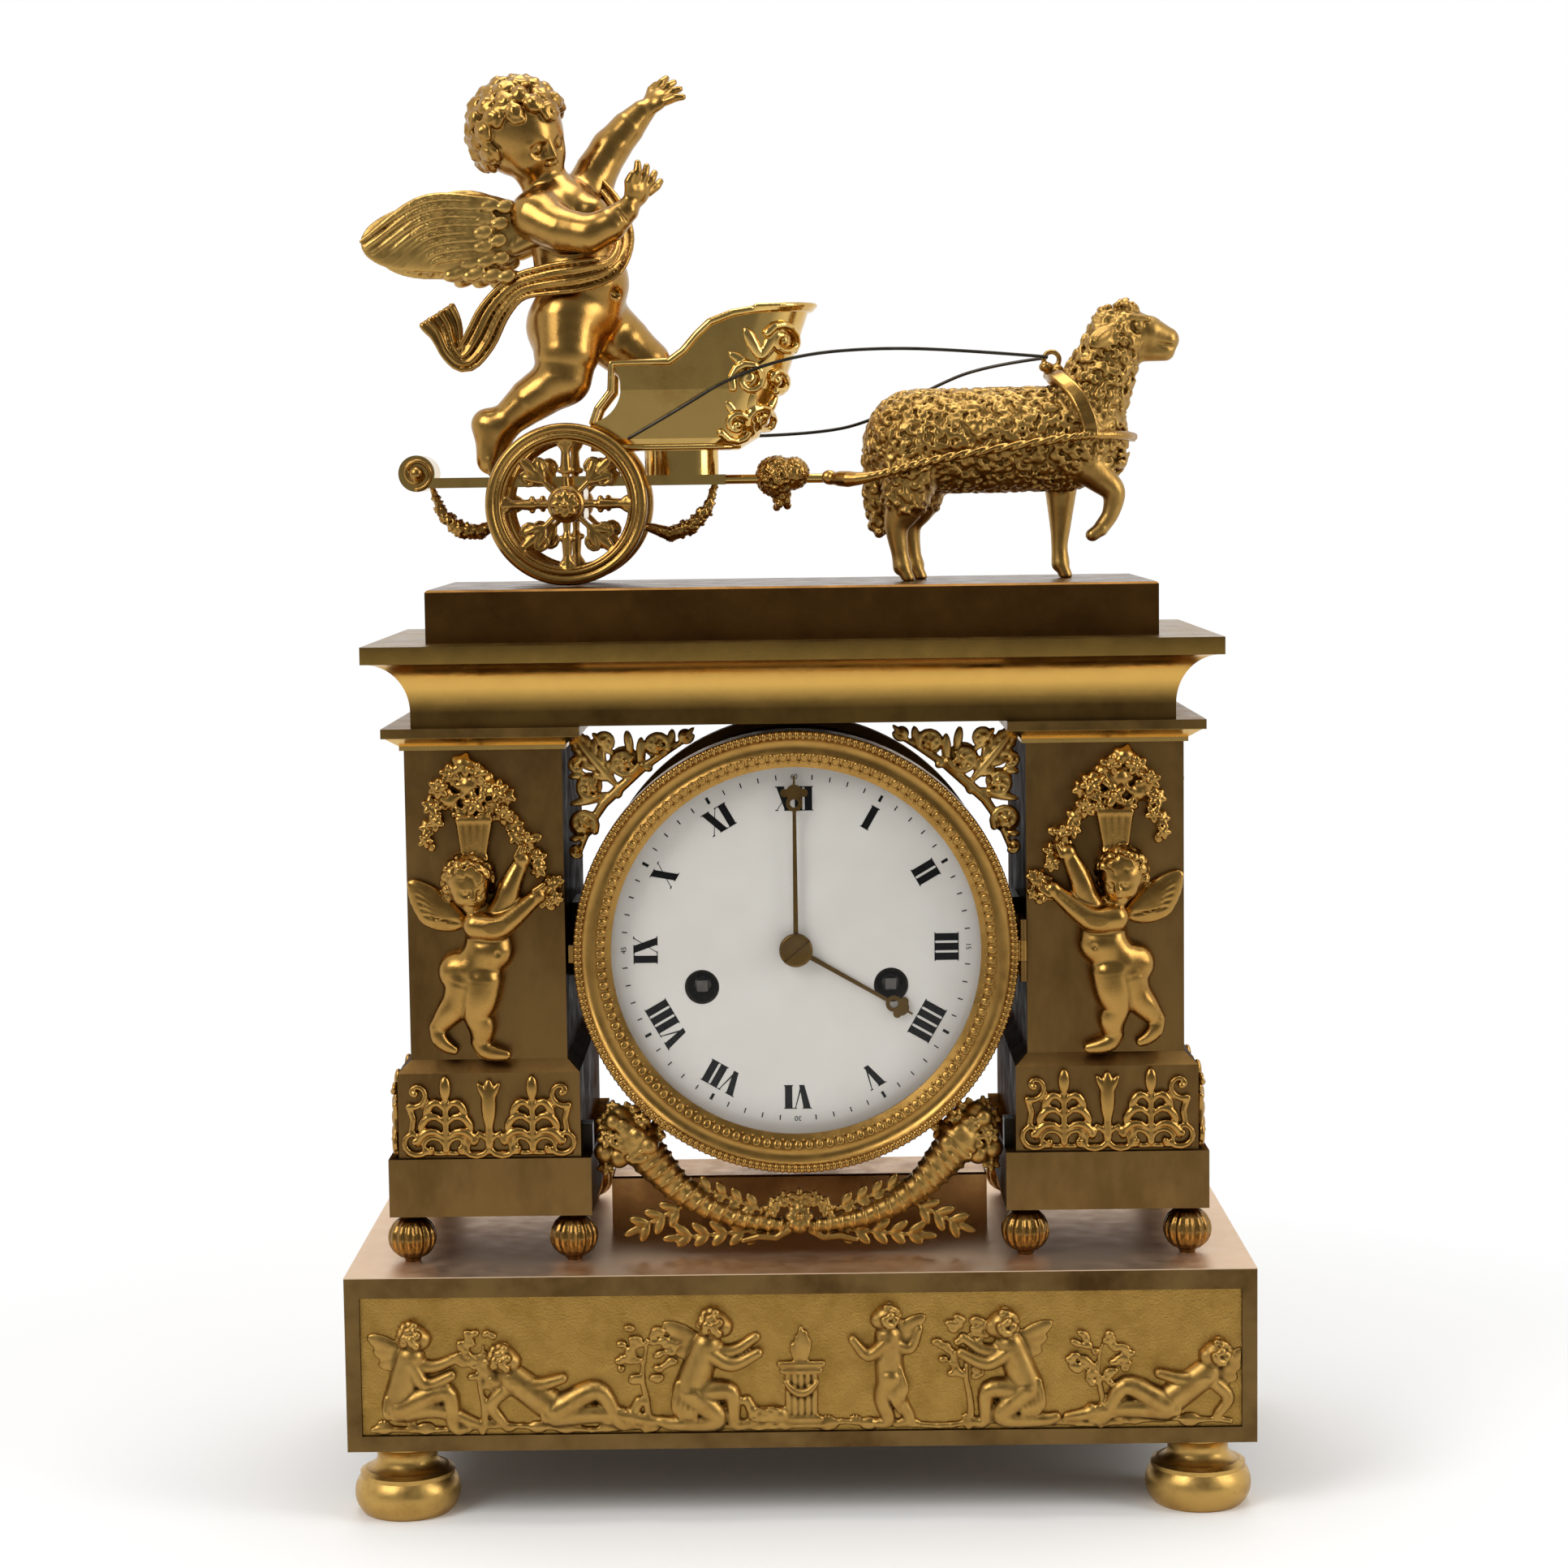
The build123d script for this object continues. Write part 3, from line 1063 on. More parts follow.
with BuildPart() as pendulum:
    knuckle(0, PENDULUM_Y, BOB_Z, PENDULUM_TOP, PENDULUM_ROD_RADIUS, 0)
    with BuildSketch(Plane.XY.offset(BOB_Z)):
        with BuildLine():
            bob_half = BOB_THICKNESS / 2
            edge = bob_edge_share * bob_half
            ThreePointArc(
                (0, PENDULUM_Y - bob_half),
                (BOB_RADIUS / 2, PENDULUM_Y - bob_half + (bob_half - edge) / 4),
                (BOB_RADIUS, PENDULUM_Y - edge),
            )
            Line((BOB_RADIUS, PENDULUM_Y - edge), (BOB_RADIUS, PENDULUM_Y + edge))
            ThreePointArc(
                (BOB_RADIUS, PENDULUM_Y + edge),
                (BOB_RADIUS / 2, PENDULUM_Y + bob_half - (bob_half - edge) / 4),
                (0, PENDULUM_Y + bob_half),
            )
            Line((0, PENDULUM_Y + bob_half), (0, PENDULUM_Y - bob_half))
        make_face()
    revolve(axis=Axis((0, 0, BOB_Z), (0, 1, 0)))
keep(pendulum, "pendulum")

CRUTCH_Y = BACK_PLATE_BACK + SEAT_GAP
FORK_Z = SUSPENSION_Z - CRUTCH_LENGTH
FORK_BACK = PENDULUM_Y + PENDULUM_ROD_RADIUS + SEAT_GAP

with BuildPart() as pallet_crutch:
    crutch_back = CRUTCH_Y + CRUTCH_THICKNESS
    disc(crutch_back, 0, SUSPENSION_Z, PIVOT_RADIUS, crutch_back - FRONT_PLATE_FRONT)
    upright_block(
        -CRUTCH_WIDTH / 2,
        CRUTCH_WIDTH / 2,
        CRUTCH_Y,
        CRUTCH_Y + CRUTCH_THICKNESS,
        FORK_Z,
        SUSPENSION_Z,
    )
    upright_block(
        -FORK_WIDTH / 2,
        FORK_WIDTH / 2,
        CRUTCH_Y,
        FORK_BACK,
        FORK_Z,
        FORK_Z + CRUTCH_WIDTH,
    )
    upright_block(
        -PENDULUM_ROD_RADIUS - FIT_GAP,
        PENDULUM_ROD_RADIUS + FIT_GAP,
        PENDULUM_Y - PENDULUM_ROD_RADIUS - SEAT_GAP,
        FORK_BACK + OVERRUN,
        FORK_Z - OVERRUN,
        FORK_Z + CRUTCH_WIDTH + OVERRUN,
        Mode.SUBTRACT,
    )
keep(pallet_crutch, "pallet_crutch")

# Bell on its post, and the hammer that strikes its rim
BELL_SPHERE = (BELL_RADIUS**2 + BELL_DEPTH**2) / (2 * BELL_DEPTH)
BELL_CENTRE_Y = BELL_MOUTH + BELL_DEPTH - BELL_SPHERE

with BuildPart() as bell:
    with Locations((BELL_X, BELL_CENTRE_Y, BELL_Z)):
        Sphere(BELL_SPHERE)
        Sphere(BELL_SPHERE - BELL_WALL, mode=Mode.SUBTRACT)
    split(bisect_by=Plane(origin=(BELL_X, BELL_MOUTH, BELL_Z), z_dir=(0, 1, 0)), keep=Keep.TOP)
keep(bell, "bell")

with BuildPart() as bell_post:
    post_end = BELL_MOUTH + BELL_DEPTH - BELL_WALL - FIT_GAP
    disc(post_end, BELL_X, BELL_Z, BELL_POST_RADIUS, post_end - BACK_PLATE_BACK)
keep(bell_post, "bell_post")

with BuildPart() as hammer:
    hammer_back = BELL_MOUTH + HAMMER_HEAD_LENGTH / 2
    disc(hammer_back, HAMMER_X, HAMMER_Z, HAMMER_HEAD_RADIUS, HAMMER_HEAD_LENGTH)
    hammer_back = BELL_MOUTH + HAMMER_ARM_WIDTH / 2
    hammer_reach = BELL_MOUTH - BACK_PLATE_FRONT
    disc(hammer_back, HAMMER_PIVOT_X, HAMMER_PIVOT_Z, PIVOT_RADIUS, hammer_reach)
    arm_plane = Plane(
        origin=(HAMMER_PIVOT_X, BELL_MOUTH + HAMMER_ARM_WIDTH / 2, HAMMER_PIVOT_Z),
        x_dir=(cos(radians(HAMMER_LEAN)), 0, sin(radians(HAMMER_LEAN))),
        z_dir=(0, -1, 0),
    )
    with BuildSketch(arm_plane):
        with Locations((HAMMER_ARM / 2, 0)):
            Rectangle(HAMMER_ARM + PIVOT_RADIUS, HAMMER_ARM_WIDTH)
    extrude(amount=HAMMER_ARM_WIDTH)
keep(hammer, "hammer")

# Chariot wheels on their axle
AXLE_Z = ATTIC_TOP + WHEEL_RADIUS + SEAT_GAP
rim_hollow_share = 0.3


def chariot_wheel(middle_y):
    """A spoked wheel with a moulded rim, standing at middle_y."""
    rim_plane = Plane(origin=(CHARIOT_X, middle_y, AXLE_Z), x_dir=(1, 0, 0), z_dir=(0, 0, 1))
    half = WHEEL_WIDTH / 2
    inside = WHEEL_RADIUS - WHEEL_RIM
    hollow = rim_hollow_share * WHEEL_RIM
    with BuildSketch(rim_plane) as rim:
        with BuildLine():
            Polyline(
                (inside, -half),
                (inside + hollow, -half + hollow / 2),
                (WHEEL_RADIUS - hollow, -half),
                (WHEEL_RADIUS, -half + hollow),
                (WHEEL_RADIUS, half - hollow),
                (WHEEL_RADIUS - hollow, half),
                (inside + hollow, half - hollow / 2),
                (inside, half),
                close=True,
            )
        make_face()
    revolve(rim.sketch, axis=Axis((CHARIOT_X, middle_y, AXLE_Z), (0, 1, 0)))
    for spoke in range(SPOKE_COUNT):
        turn = 2 * pi * spoke / SPOKE_COUNT
        spoke_plane = Plane(
            origin=(CHARIOT_X, middle_y + SPOKE_THICKNESS / 2, AXLE_Z),
            x_dir=(cos(turn), 0, sin(turn)),
            z_dir=(0, -1, 0),
        )
        width = SPOKE_WIDTH if spoke % 2 == 0 else SPOKE_WIDTH / 2
        reach = WHEEL_RADIUS - WHEEL_RIM / 2
        with BuildSketch(spoke_plane) as blade:
            with BuildLine():
                root, tip = width / 4, width / 2
                Polyline((0, root), (reach, tip), (reach, -tip), (0, -root), close=True)
            make_face()
        extrude(blade.sketch, amount=SPOKE_THICKNESS)
    disc(middle_y + HUB_WIDTH / 2, CHARIOT_X, AXLE_Z, HUB_RADIUS, HUB_WIDTH)
    disc(middle_y + HUB_WIDTH, CHARIOT_X, AXLE_Z, WHEEL_BORE, 2 * HUB_WIDTH, Mode.SUBTRACT)


for wheel_name, side in (("wheel_near", -1), ("wheel_far", 1)):
    with BuildPart() as wheel:
        chariot_wheel(side * WHEEL_TRACK / 2)
    keep(wheel, wheel_name)

AXLE_HALF = WHEEL_TRACK / 2 + HUB_WIDTH / 2 + FIT_GAP
with BuildPart() as axle:
    disc(AXLE_HALF, CHARIOT_X, AXLE_Z, AXLE_RADIUS, 2 * AXLE_HALF)
    disc(-AXLE_HALF, CHARIOT_X, AXLE_Z, AXLE_CAP_RADIUS, AXLE_CAP_LENGTH)
    disc(AXLE_HALF + AXLE_CAP_LENGTH, CHARIOT_X, AXLE_Z, AXLE_CAP_RADIUS, AXLE_CAP_LENGTH)
keep(axle, "axle")

# Running gear: platform, scroll at its tail, axle block, turntable and pole
PLATFORM_TOP = AXLE_Z + PLATFORM_RISE
PLATFORM_BOTTOM = PLATFORM_TOP - PLATFORM_THICKNESS
PLATFORM_MIDDLE = PLATFORM_TOP - PLATFORM_THICKNESS / 2
SCROLL_X = CHARIOT_X - PLATFORM_REAR - SCROLL_RADIUS / 2
PLATFORM_END = CHARIOT_X + PLATFORM_FRONT
TURNTABLE_X = CHARIOT_X + TURNTABLE_AHEAD

with BuildPart() as chariot_chassis:
    upright_block(
        CHARIOT_X - PLATFORM_REAR,
        PLATFORM_END,
        -PLATFORM_WIDTH / 2,
        PLATFORM_WIDTH / 2,
        PLATFORM_BOTTOM,
        PLATFORM_TOP,
    )
    upright_block(
        CHARIOT_X - AXLE_BLOCK_LENGTH / 2,
        CHARIOT_X + AXLE_BLOCK_LENGTH / 2,
        -AXLE_BLOCK_WIDTH / 2,
        AXLE_BLOCK_WIDTH / 2,
        AXLE_Z - AXLE_BLOCK_LENGTH / 2,
        PLATFORM_TOP,
    )
    disc(PLATFORM_WIDTH / 2, SCROLL_X, PLATFORM_TOP + SCROLL_RADIUS / 4, SCROLL_RADIUS, PLATFORM_WIDTH)
    scroll_z = PLATFORM_TOP + SCROLL_RADIUS / 4
    disc(PLATFORM_WIDTH, SCROLL_X, scroll_z, SCROLL_BORE, 2 * PLATFORM_WIDTH, Mode.SUBTRACT)
    disc(AXLE_BLOCK_WIDTH, CHARIOT_X, AXLE_Z, AXLE_RADIUS + RUN_GAP, 2 * AXLE_BLOCK_WIDTH, Mode.SUBTRACT)
    with BuildSketch(Plane(origin=(TURNTABLE_X, 0, PLATFORM_TOP))):
        Ellipse(TURNTABLE_LENGTH / 2, TURNTABLE_WIDTH / 2)
    extrude(amount=TURNTABLE_HEIGHT)
    with BuildSketch(Plane(origin=(PLATFORM_END - OVERRUN, 0, PLATFORM_MIDDLE), z_dir=(1, 0, 0))):
        Circle(POLE_RADIUS)
    extrude(amount=POLE_LENGTH + OVERRUN)
keep(chariot_chassis, "chariot_chassis")

# Boss threaded on the pole, with lobes like a bunch of leaves
BOSS_X = CHARIOT_X + BOSS_AHEAD
BOSS_LOBES = 6
boss_lobe_share = 0.55
boss_ring_share = 0.60

boss_limbs = [
    (
        ((BOSS_X - BOSS_RADIUS / 4, 0, PLATFORM_MIDDLE), BOSS_RADIUS * boss_ring_share),
        ((BOSS_X + BOSS_RADIUS / 2, 0, PLATFORM_MIDDLE), BOSS_RADIUS / 2),
    )
]
for lobe in range(BOSS_LOBES):
    turn = 2 * pi * lobe / BOSS_LOBES
    lobe_y = BOSS_RADIUS * boss_ring_share * sin(turn)
    lobe_rise = BOSS_RADIUS * boss_ring_share * cos(turn)
    lobe_root = (BOSS_X, lobe_y, PLATFORM_MIDDLE + lobe_rise)
    lobe_tip = (BOSS_X + BOSS_RADIUS / 2, lobe_y / 2, PLATFORM_MIDDLE + lobe_rise / 2)
    lobe_radius = BOSS_RADIUS * boss_lobe_share
    boss_limbs.append(((lobe_root, lobe_radius), (lobe_tip, lobe_radius / 2)))

with BuildPart() as pole_boss:
    figure(boss_limbs)
    with BuildSketch(Plane(origin=(BOSS_X - 2 * BOSS_RADIUS, 0, PLATFORM_MIDDLE), z_dir=(1, 0, 0))):
        Circle(POLE_RADIUS + RUN_GAP)
    extrude(amount=4 * BOSS_RADIUS, mode=Mode.SUBTRACT)
keep(pole_boss, "pole_boss")

# Chariot body: a bow-fronted tub, open at the back, cut to its sweeping rim
TUB_BOTTOM = PLATFORM_TOP + TURNTABLE_HEIGHT
TUB_TOP = TUB_BOTTOM + TUB_HEIGHT
TUB_REAR_X = CHARIOT_X + TUB_REAR_AHEAD
TUB_LIP_X = CHARIOT_X + TUB_LIP_AHEAD
tub_level_shares = ((0.0, 0.67, 0.78), (0.085, 0.76, 0.83), (0.43, 0.875, 0.91), (1.0, 1.0, 1.0))
tub_sill_shares = ((0.10, 0.62), (0.36, 0.62))
tub_sweep_shares = ((0.55, 0.90), (0.76, 0.985))
tub_lip_share = 1.05
tub_back_shares = ((0.0, 0.20), (0.14, 0.42))
tub_floor_share = 0.04


def tub_plan(level, rear, nose, half_width):
    """A bow-fronted plan of the tub at one level."""
    with BuildSketch(Plane(origin=(0, 0, level))) as plan:
        with BuildLine():
            shoulder = nose - half_width
            near, far = -half_width, half_width
            Polyline((shoulder, near), (rear, near), (rear, far), (shoulder, far))
            ThreePointArc((shoulder, half_width), (nose, 0), (shoulder, -half_width))
        make_face()
    return plan.sketch


def tub_body(wall, lift):
    """The plans of the tub from its floor to its rim, a wall further in and a lift higher."""
    plans = []
    for level_share, nose_share, width_share in tub_level_shares:
        level = TUB_BOTTOM + lift + level_share * TUB_HEIGHT
        nose = TUB_REAR_X + nose_share * (TUB_LIP_X - TUB_REAR_X) - wall
        rear = TUB_REAR_X - (OVERRUN if wall else 0)
        plans.append(tub_plan(level, rear, nose, width_share * TUB_TOP_HALF_WIDTH - wall))
    return plans


def tub_side(shares):
    """A point of the tub's side view, as shares of its length and height."""
    return (TUB_REAR_X + shares[0] * (TUB_LIP_X - TUB_REAR_X), TUB_BOTTOM + shares[1] * TUB_HEIGHT)


with BuildPart() as chariot_tub:
    loft(tub_body(0, 0), ruled=True)
    loft(tub_body(TUB_WALL, tub_floor_share * TUB_HEIGHT), ruled=True, mode=Mode.SUBTRACT)
    with BuildSketch(Plane.XZ):
        with BuildLine():
            lip_top = tub_side((tub_lip_share, 1))
            sill, sill_end = [tub_side(point) for point in tub_sill_shares]
            back_foot, back_hollow = [tub_side(point) for point in tub_back_shares]
            side_curve = [tub_side(point) for point in tub_sweep_shares]
            Spline(sill_end, *side_curve, lip_top, tangents=((1, 1), (1, 0)))
            Line(sill, sill_end)
            ThreePointArc(back_foot, back_hollow, sill)
            Polyline(lip_top, tub_side((tub_lip_share, 0)), tub_side((0, 0)), back_foot)
        make_face()
    extrude(amount=2 * TUB_TOP_HALF_WIDTH, both=True, mode=Mode.INTERSECT)
keep(chariot_tub, "chariot_tub")

# Flower garlands slung under the chariot
garland_shares = {
    "rear": ((-0.95, -0.30, 0.03), (-0.84, -0.42, 0.06), (-0.73, -0.62, 0.08), (-0.60, -0.60, 0.075)),
    "front": ((1.00, -0.30, 0.03), (0.92, -0.45, 0.05), (0.78, -0.62, 0.075), (0.60, -0.64, 0.07)),
}
garland_end_share = 0.045

garland_limbs = []
for name, shares in garland_shares.items():
    chain = []
    for x, z, radius in shares:
        place = (CHARIOT_X + x * PLATFORM_REAR, 0, PLATFORM_BOTTOM + z * WHEEL_RADIUS)
        chain.append((place, radius * PLATFORM_REAR))
    start, radius = chain[0]
    chain[0] = ((start[0], 0, PLATFORM_BOTTOM - radius - SEAT_GAP), radius)
    toward = -1 if name == "rear" else 1
    end_radius = garland_end_share * PLATFORM_REAR
    end_x = CHARIOT_X + toward * (AXLE_BLOCK_LENGTH / 2 + end_radius + SEAT_GAP)
    chain.append(((end_x, 0, AXLE_Z), end_radius))
    garland_limbs.append(chain)

with BuildPart() as garlands:
    figure(garland_limbs)
keep(garlands, "garlands")

# Winged child: places as shares of the height, from the sole of the near foot's level
CHILD_X = CHARIOT_X
child_joint_shares = {
    "crown": ((-0.113, -0.008, 0.863), 0.122),
    "cheek": ((-0.045, -0.040, 0.822), 0.080),
    "neck": ((-0.050, 0.0, 0.745), 0.048),
    "chest": ((0.0, 0.0, 0.646), 0.098),
    "belly": ((0.030, -0.008, 0.476), 0.106),
    "hips": ((0.034, 0.0, 0.400), 0.111),
    "near_shoulder": ((-0.059, -0.093, 0.642), 0.056),
    "near_elbow": ((0.108, -0.153, 0.607), 0.042),
    "near_wrist": ((0.178, -0.157, 0.663), 0.029),
    "near_hand": ((0.214, -0.153, 0.702), 0.024),
    "far_shoulder": ((0.052, 0.085, 0.715), 0.053),
    "far_elbow": ((0.097, 0.102, 0.822), 0.043),
    "far_wrist": ((0.186, 0.119, 0.930), 0.030),
    "far_hand": ((0.246, 0.119, 0.978), 0.024),
    "near_hip": ((0.0, -0.051, 0.392), 0.088),
    "near_knee": ((-0.025, -0.076, 0.256), 0.065),
    "near_ankle": ((-0.174, -0.068, 0.134), 0.039),
    "near_toe": ((-0.197, -0.068, 0.030), 0.027),
    "far_hip": ((0.076, 0.036, 0.375), 0.083),
    "far_knee": ((0.195, 0.034, 0.285), 0.061),
    "far_ankle": ((0.172, 0.034, 0.158), 0.037),
    "far_toe": ((0.235, 0.034, 0.108), 0.026),
}
child_limbs = (
    ("crown", "cheek"),
    ("crown", "neck", "chest", "belly", "hips"),
    ("chest", "near_shoulder", "near_elbow", "near_wrist", "near_hand"),
    ("chest", "far_shoulder", "far_elbow", "far_wrist", "far_hand"),
    ("hips", "near_hip", "near_knee", "near_ankle", "near_toe"),
    ("hips", "far_hip", "far_knee", "far_ankle", "far_toe"),
)


def child_joint(name):
    """A joint of the child: its place and its radius."""
    (x, y, z), radius = child_joint_shares[name]
    place = (CHILD_X + x * CHILD_HEIGHT, y * CHILD_HEIGHT, PLATFORM_TOP + z * CHILD_HEIGHT)
    return place, radius * CHILD_HEIGHT


with BuildPart() as child:
    figure([[child_joint(name) for name in names] for names in child_limbs])
keep(child, "child")

# Wings: long pointed leaves of metal, one behind each shoulder
wing_outline_shares = ((0.0, 0.02), (0.20, 0.14), (0.46, 0.19), (0.80, 0.07), (1.0, -0.08))
wing_lower_shares = ((1.0, -0.08), (0.72, -0.19), (0.44, -0.25), (0.22, -0.20), (0.0, -0.10))
wing_root_shares = (-0.050, 0.085, 0.648)
wing_sweep = 10.0

for wing_name, side in (("wing_near", -1), ("wing_far", 1)):
    root_x, root_y, root_z = (share * CHILD_HEIGHT for share in wing_root_shares)
    sweep_turn = radians(wing_sweep)
    with BuildPart() as wing:
        wing_plane = Plane(
            origin=(CHILD_X + root_x, side * root_y, PLATFORM_TOP + root_z),
            x_dir=(-cos(sweep_turn), side * sin(sweep_turn), 0),
            z_dir=(side * -sin(sweep_turn), -cos(sweep_turn), 0),
        )
        with BuildSketch(wing_plane):
            with BuildLine():
                Spline(*[(x * WING_LENGTH, z * WING_LENGTH) for x, z in wing_outline_shares])
                Spline(*[(x * WING_LENGTH, z * WING_LENGTH) for x, z in wing_lower_shares])
                root_top = wing_outline_shares[0][1] * WING_LENGTH
                root_foot = wing_lower_shares[-1][1] * WING_LENGTH
                Line((0, root_foot), (0, root_top))
            make_face()
        extrude(amount=WING_THICKNESS / 2, both=True)
    keep(wing, wing_name)

# Sash round the waist, with its tail flying out behind
sash_joint_shares = (
    ((0.120, -0.045, 0.585), 0.020),
    ((0.060, -0.112, 0.520), 0.022),
    ((-0.020, -0.118, 0.487), 0.022),
    ((-0.110, -0.090, 0.478), 0.024),
    ((-0.195, -0.072, 0.400), 0.025),
    ((-0.250, -0.058, 0.325), 0.022),
    ((-0.285, -0.055, 0.345), 0.022),
    ((-0.318, -0.055, 0.412), 0.022),
)


def on_child(shares):
    """A place beside the child, as shares of its height."""
    x, y, z = shares
    return (CHILD_X + x * CHILD_HEIGHT, y * CHILD_HEIGHT, PLATFORM_TOP + z * CHILD_HEIGHT)


with BuildPart() as sash:
    figure([[(on_child(place), radius * CHILD_HEIGHT) for place, radius in sash_joint_shares]])
keep(sash, "sash")

# Sheep: places as shares of its length, from the rump's end on the attic block
sheep_joint_shares = {
    "rump": ((0.168, 0.0, 0.442), 0.166),
    "withers": ((0.640, 0.0, 0.448), 0.164),
    "brisket": ((0.690, 0.0, 0.425), 0.130),
    "breast": ((0.760, 0.0, 0.440), 0.103),
    "neck": ((0.705, 0.0, 0.530), 0.120),
    "nape": ((0.780, 0.0, 0.735), 0.086),
    "skull": ((0.795, 0.0, 0.758), 0.081),
    "muzzle": ((0.948, 0.0, 0.735), 0.044),
    "tail_root": ((0.030, 0.0, 0.430), 0.038),
    "tail_end": ((0.018, 0.0, 0.270), 0.028),
    "thigh": ((0.130, -0.076, 0.330), 0.086),
    "hock": ((0.095, -0.080, 0.195), 0.042),
    "hind_foot": ((0.113, -0.080, 0.022), 0.028),
    "shoulder": ((0.625, 0.060, 0.330), 0.062),
    "fore_knee": ((0.622, 0.060, 0.170), 0.030),
    "fore_foot": ((0.622, 0.060, 0.022), 0.027),
    "lifted_shoulder": ((0.690, -0.066, 0.350), 0.064),
    "lifted_knee": ((0.775, -0.066, 0.285), 0.036),
    "lifted_pastern": ((0.755, -0.066, 0.165), 0.024),
    "lifted_foot": ((0.682, -0.066, 0.135), 0.026),
    "ear_root": ((0.770, -0.052, 0.775), 0.026),
    "ear_tip": ((0.705, -0.118, 0.738), 0.014),
}
sheep_limbs = (
    ("rump", "withers"),
    ("brisket", "breast"),
    ("neck", "nape"),
    ("skull", "muzzle"),
    ("tail_root", "tail_end"),
    ("thigh", "hock", "hind_foot"),
    ("shoulder", "fore_knee", "fore_foot"),
    ("lifted_shoulder", "lifted_knee", "lifted_pastern", "lifted_foot"),
    ("ear_root", "ear_tip"),
)
sheep_mirrored_limbs = (("thigh", "hock", "hind_foot"), ("ear_root", "ear_tip"))
far_hind_step_share = 0.045


def sheep_joint(name, side=1, step_share=0.0):
    """A joint of the sheep: its place and its radius."""
    (x, y, z), radius = sheep_joint_shares[name]
    stepped = SHEEP_X + (x + step_share) * SHEEP_LENGTH
    place = (stepped, side * y * SHEEP_LENGTH, ATTIC_TOP + z * SHEEP_LENGTH)
    return place, radius * SHEEP_LENGTH


sheep_chains = [[sheep_joint(name) for name in names] for names in sheep_limbs]
for names in sheep_mirrored_limbs:
    step = far_hind_step_share if "hind_foot" in names else 0.0
    sheep_chains.append([sheep_joint(name, -1, step) for name in names])

with BuildPart() as sheep:
    figure(sheep_chains)
    split(bisect_by=Plane.XY.offset(ATTIC_TOP), keep=Keep.TOP)
keep(sheep, "sheep")

# Harness: a shaft along each flank joined by a breast strap, a cross bar, a collar and its rein ring
harness_shaft_shares = (
    (-0.105, -0.095, 0.322),
    (0.010, -0.165, 0.325),
    (0.240, -0.186, 0.380),
    (0.640, -0.184, 0.440),
    (0.745, -0.156, 0.448),
    (0.840, -0.095, 0.446),
)
breast_share = (0.890, 0.0, 0.440)
collar_shares = ((0.685, -0.176, 0.478), (0.655, -0.142, 0.565))
collar_top_share = (0.590, 0.0, 0.632)
ring_share = (0.592, 0.0, 0.690)
wire_bend_share = 0.45


def on_sheep(shares, side=1):
    """A point beside the sheep, as shares of its length."""
    x, y, z = shares
    return (SHEEP_X + x * SHEEP_LENGTH, side * y * SHEEP_LENGTH, ATTIC_TOP + z * SHEEP_LENGTH)


def both_sides(shares, middle):
    """A route up one side of the sheep, over a middle point and down the other side."""
    return (
        [on_sheep(point) for point in shares]
        + [on_sheep(middle)]
        + [on_sheep(point, -1) for point in reversed(shares)]
    )


def wire(points, radius):
    """A round wire along straight runs joined by wide arcs; returns the bends' radii."""
    route = [Vector(point) for point in points]
    bends = []
    for before, here, after in zip(route, route[1:], route[2:]):
        turn = radians((here - before).get_angle(after - here))
        shorter = min((here - before).length, (after - here).length)
        bends.append(wire_bend_share * shorter / tan(turn / 2))
    with BuildLine() as path:
        FilletPolyline(*route, radius=bends)
    with BuildSketch(Plane(origin=route[0], z_dir=route[1] - route[0])) as section:
        Circle(radius)
    sweep(section.sketch, path=path.line)
    return bends


with BuildPart() as harness:
    wire(both_sides(harness_shaft_shares, breast_share), STRAP_RADIUS)
    cross_bar = [on_sheep(harness_shaft_shares[0], side) for side in SIDES.values()]
    add(bone(*cross_bar, STRAP_RADIUS + FIT_GAP, STRAP_RADIUS + FIT_GAP))
    wire(both_sides(collar_shares, collar_top_share), STRAP_RADIUS)
    add(bone(on_sheep(collar_top_share), on_sheep(ring_share), STRAP_RADIUS + FIT_GAP, STRAP_RADIUS))
keep(harness, "harness")

# Reins: stiff wires from the collar's ring to the chariot's sides, beside the sheep
near_rein_shares = (
    (0.579, -0.0153, 0.6930),
    (0.295, -0.0695, 0.7170),
    (0.042, -0.1070, 0.7250),
    (-0.200, -0.1490, 0.7060),
    (-0.411, -0.1810, 0.6390),
    (-0.579, -0.1790, 0.5380),
    (-0.733, -0.1420, 0.4540),
)
far_rein_shares = (
    (0.579, 0.0153, 0.6916),
    (0.379, 0.0780, 0.6705),
    (0.2105, 0.1430, 0.6010),
    (0.042, 0.1830, 0.5080),
    (-0.126, 0.1470, 0.4660),
    (-0.340, 0.0768, 0.4600),
)

for rein_name, shares in (("rein_near", near_rein_shares), ("rein_far", far_rein_shares)):
    with BuildPart() as rein:
        rein_bends = wire([on_sheep(point) for point in shares], REIN_RADIUS)
    print(rein_name, "bend radii", [round(bend, 1) for bend in rein_bends])
    keep(rein, rein_name)

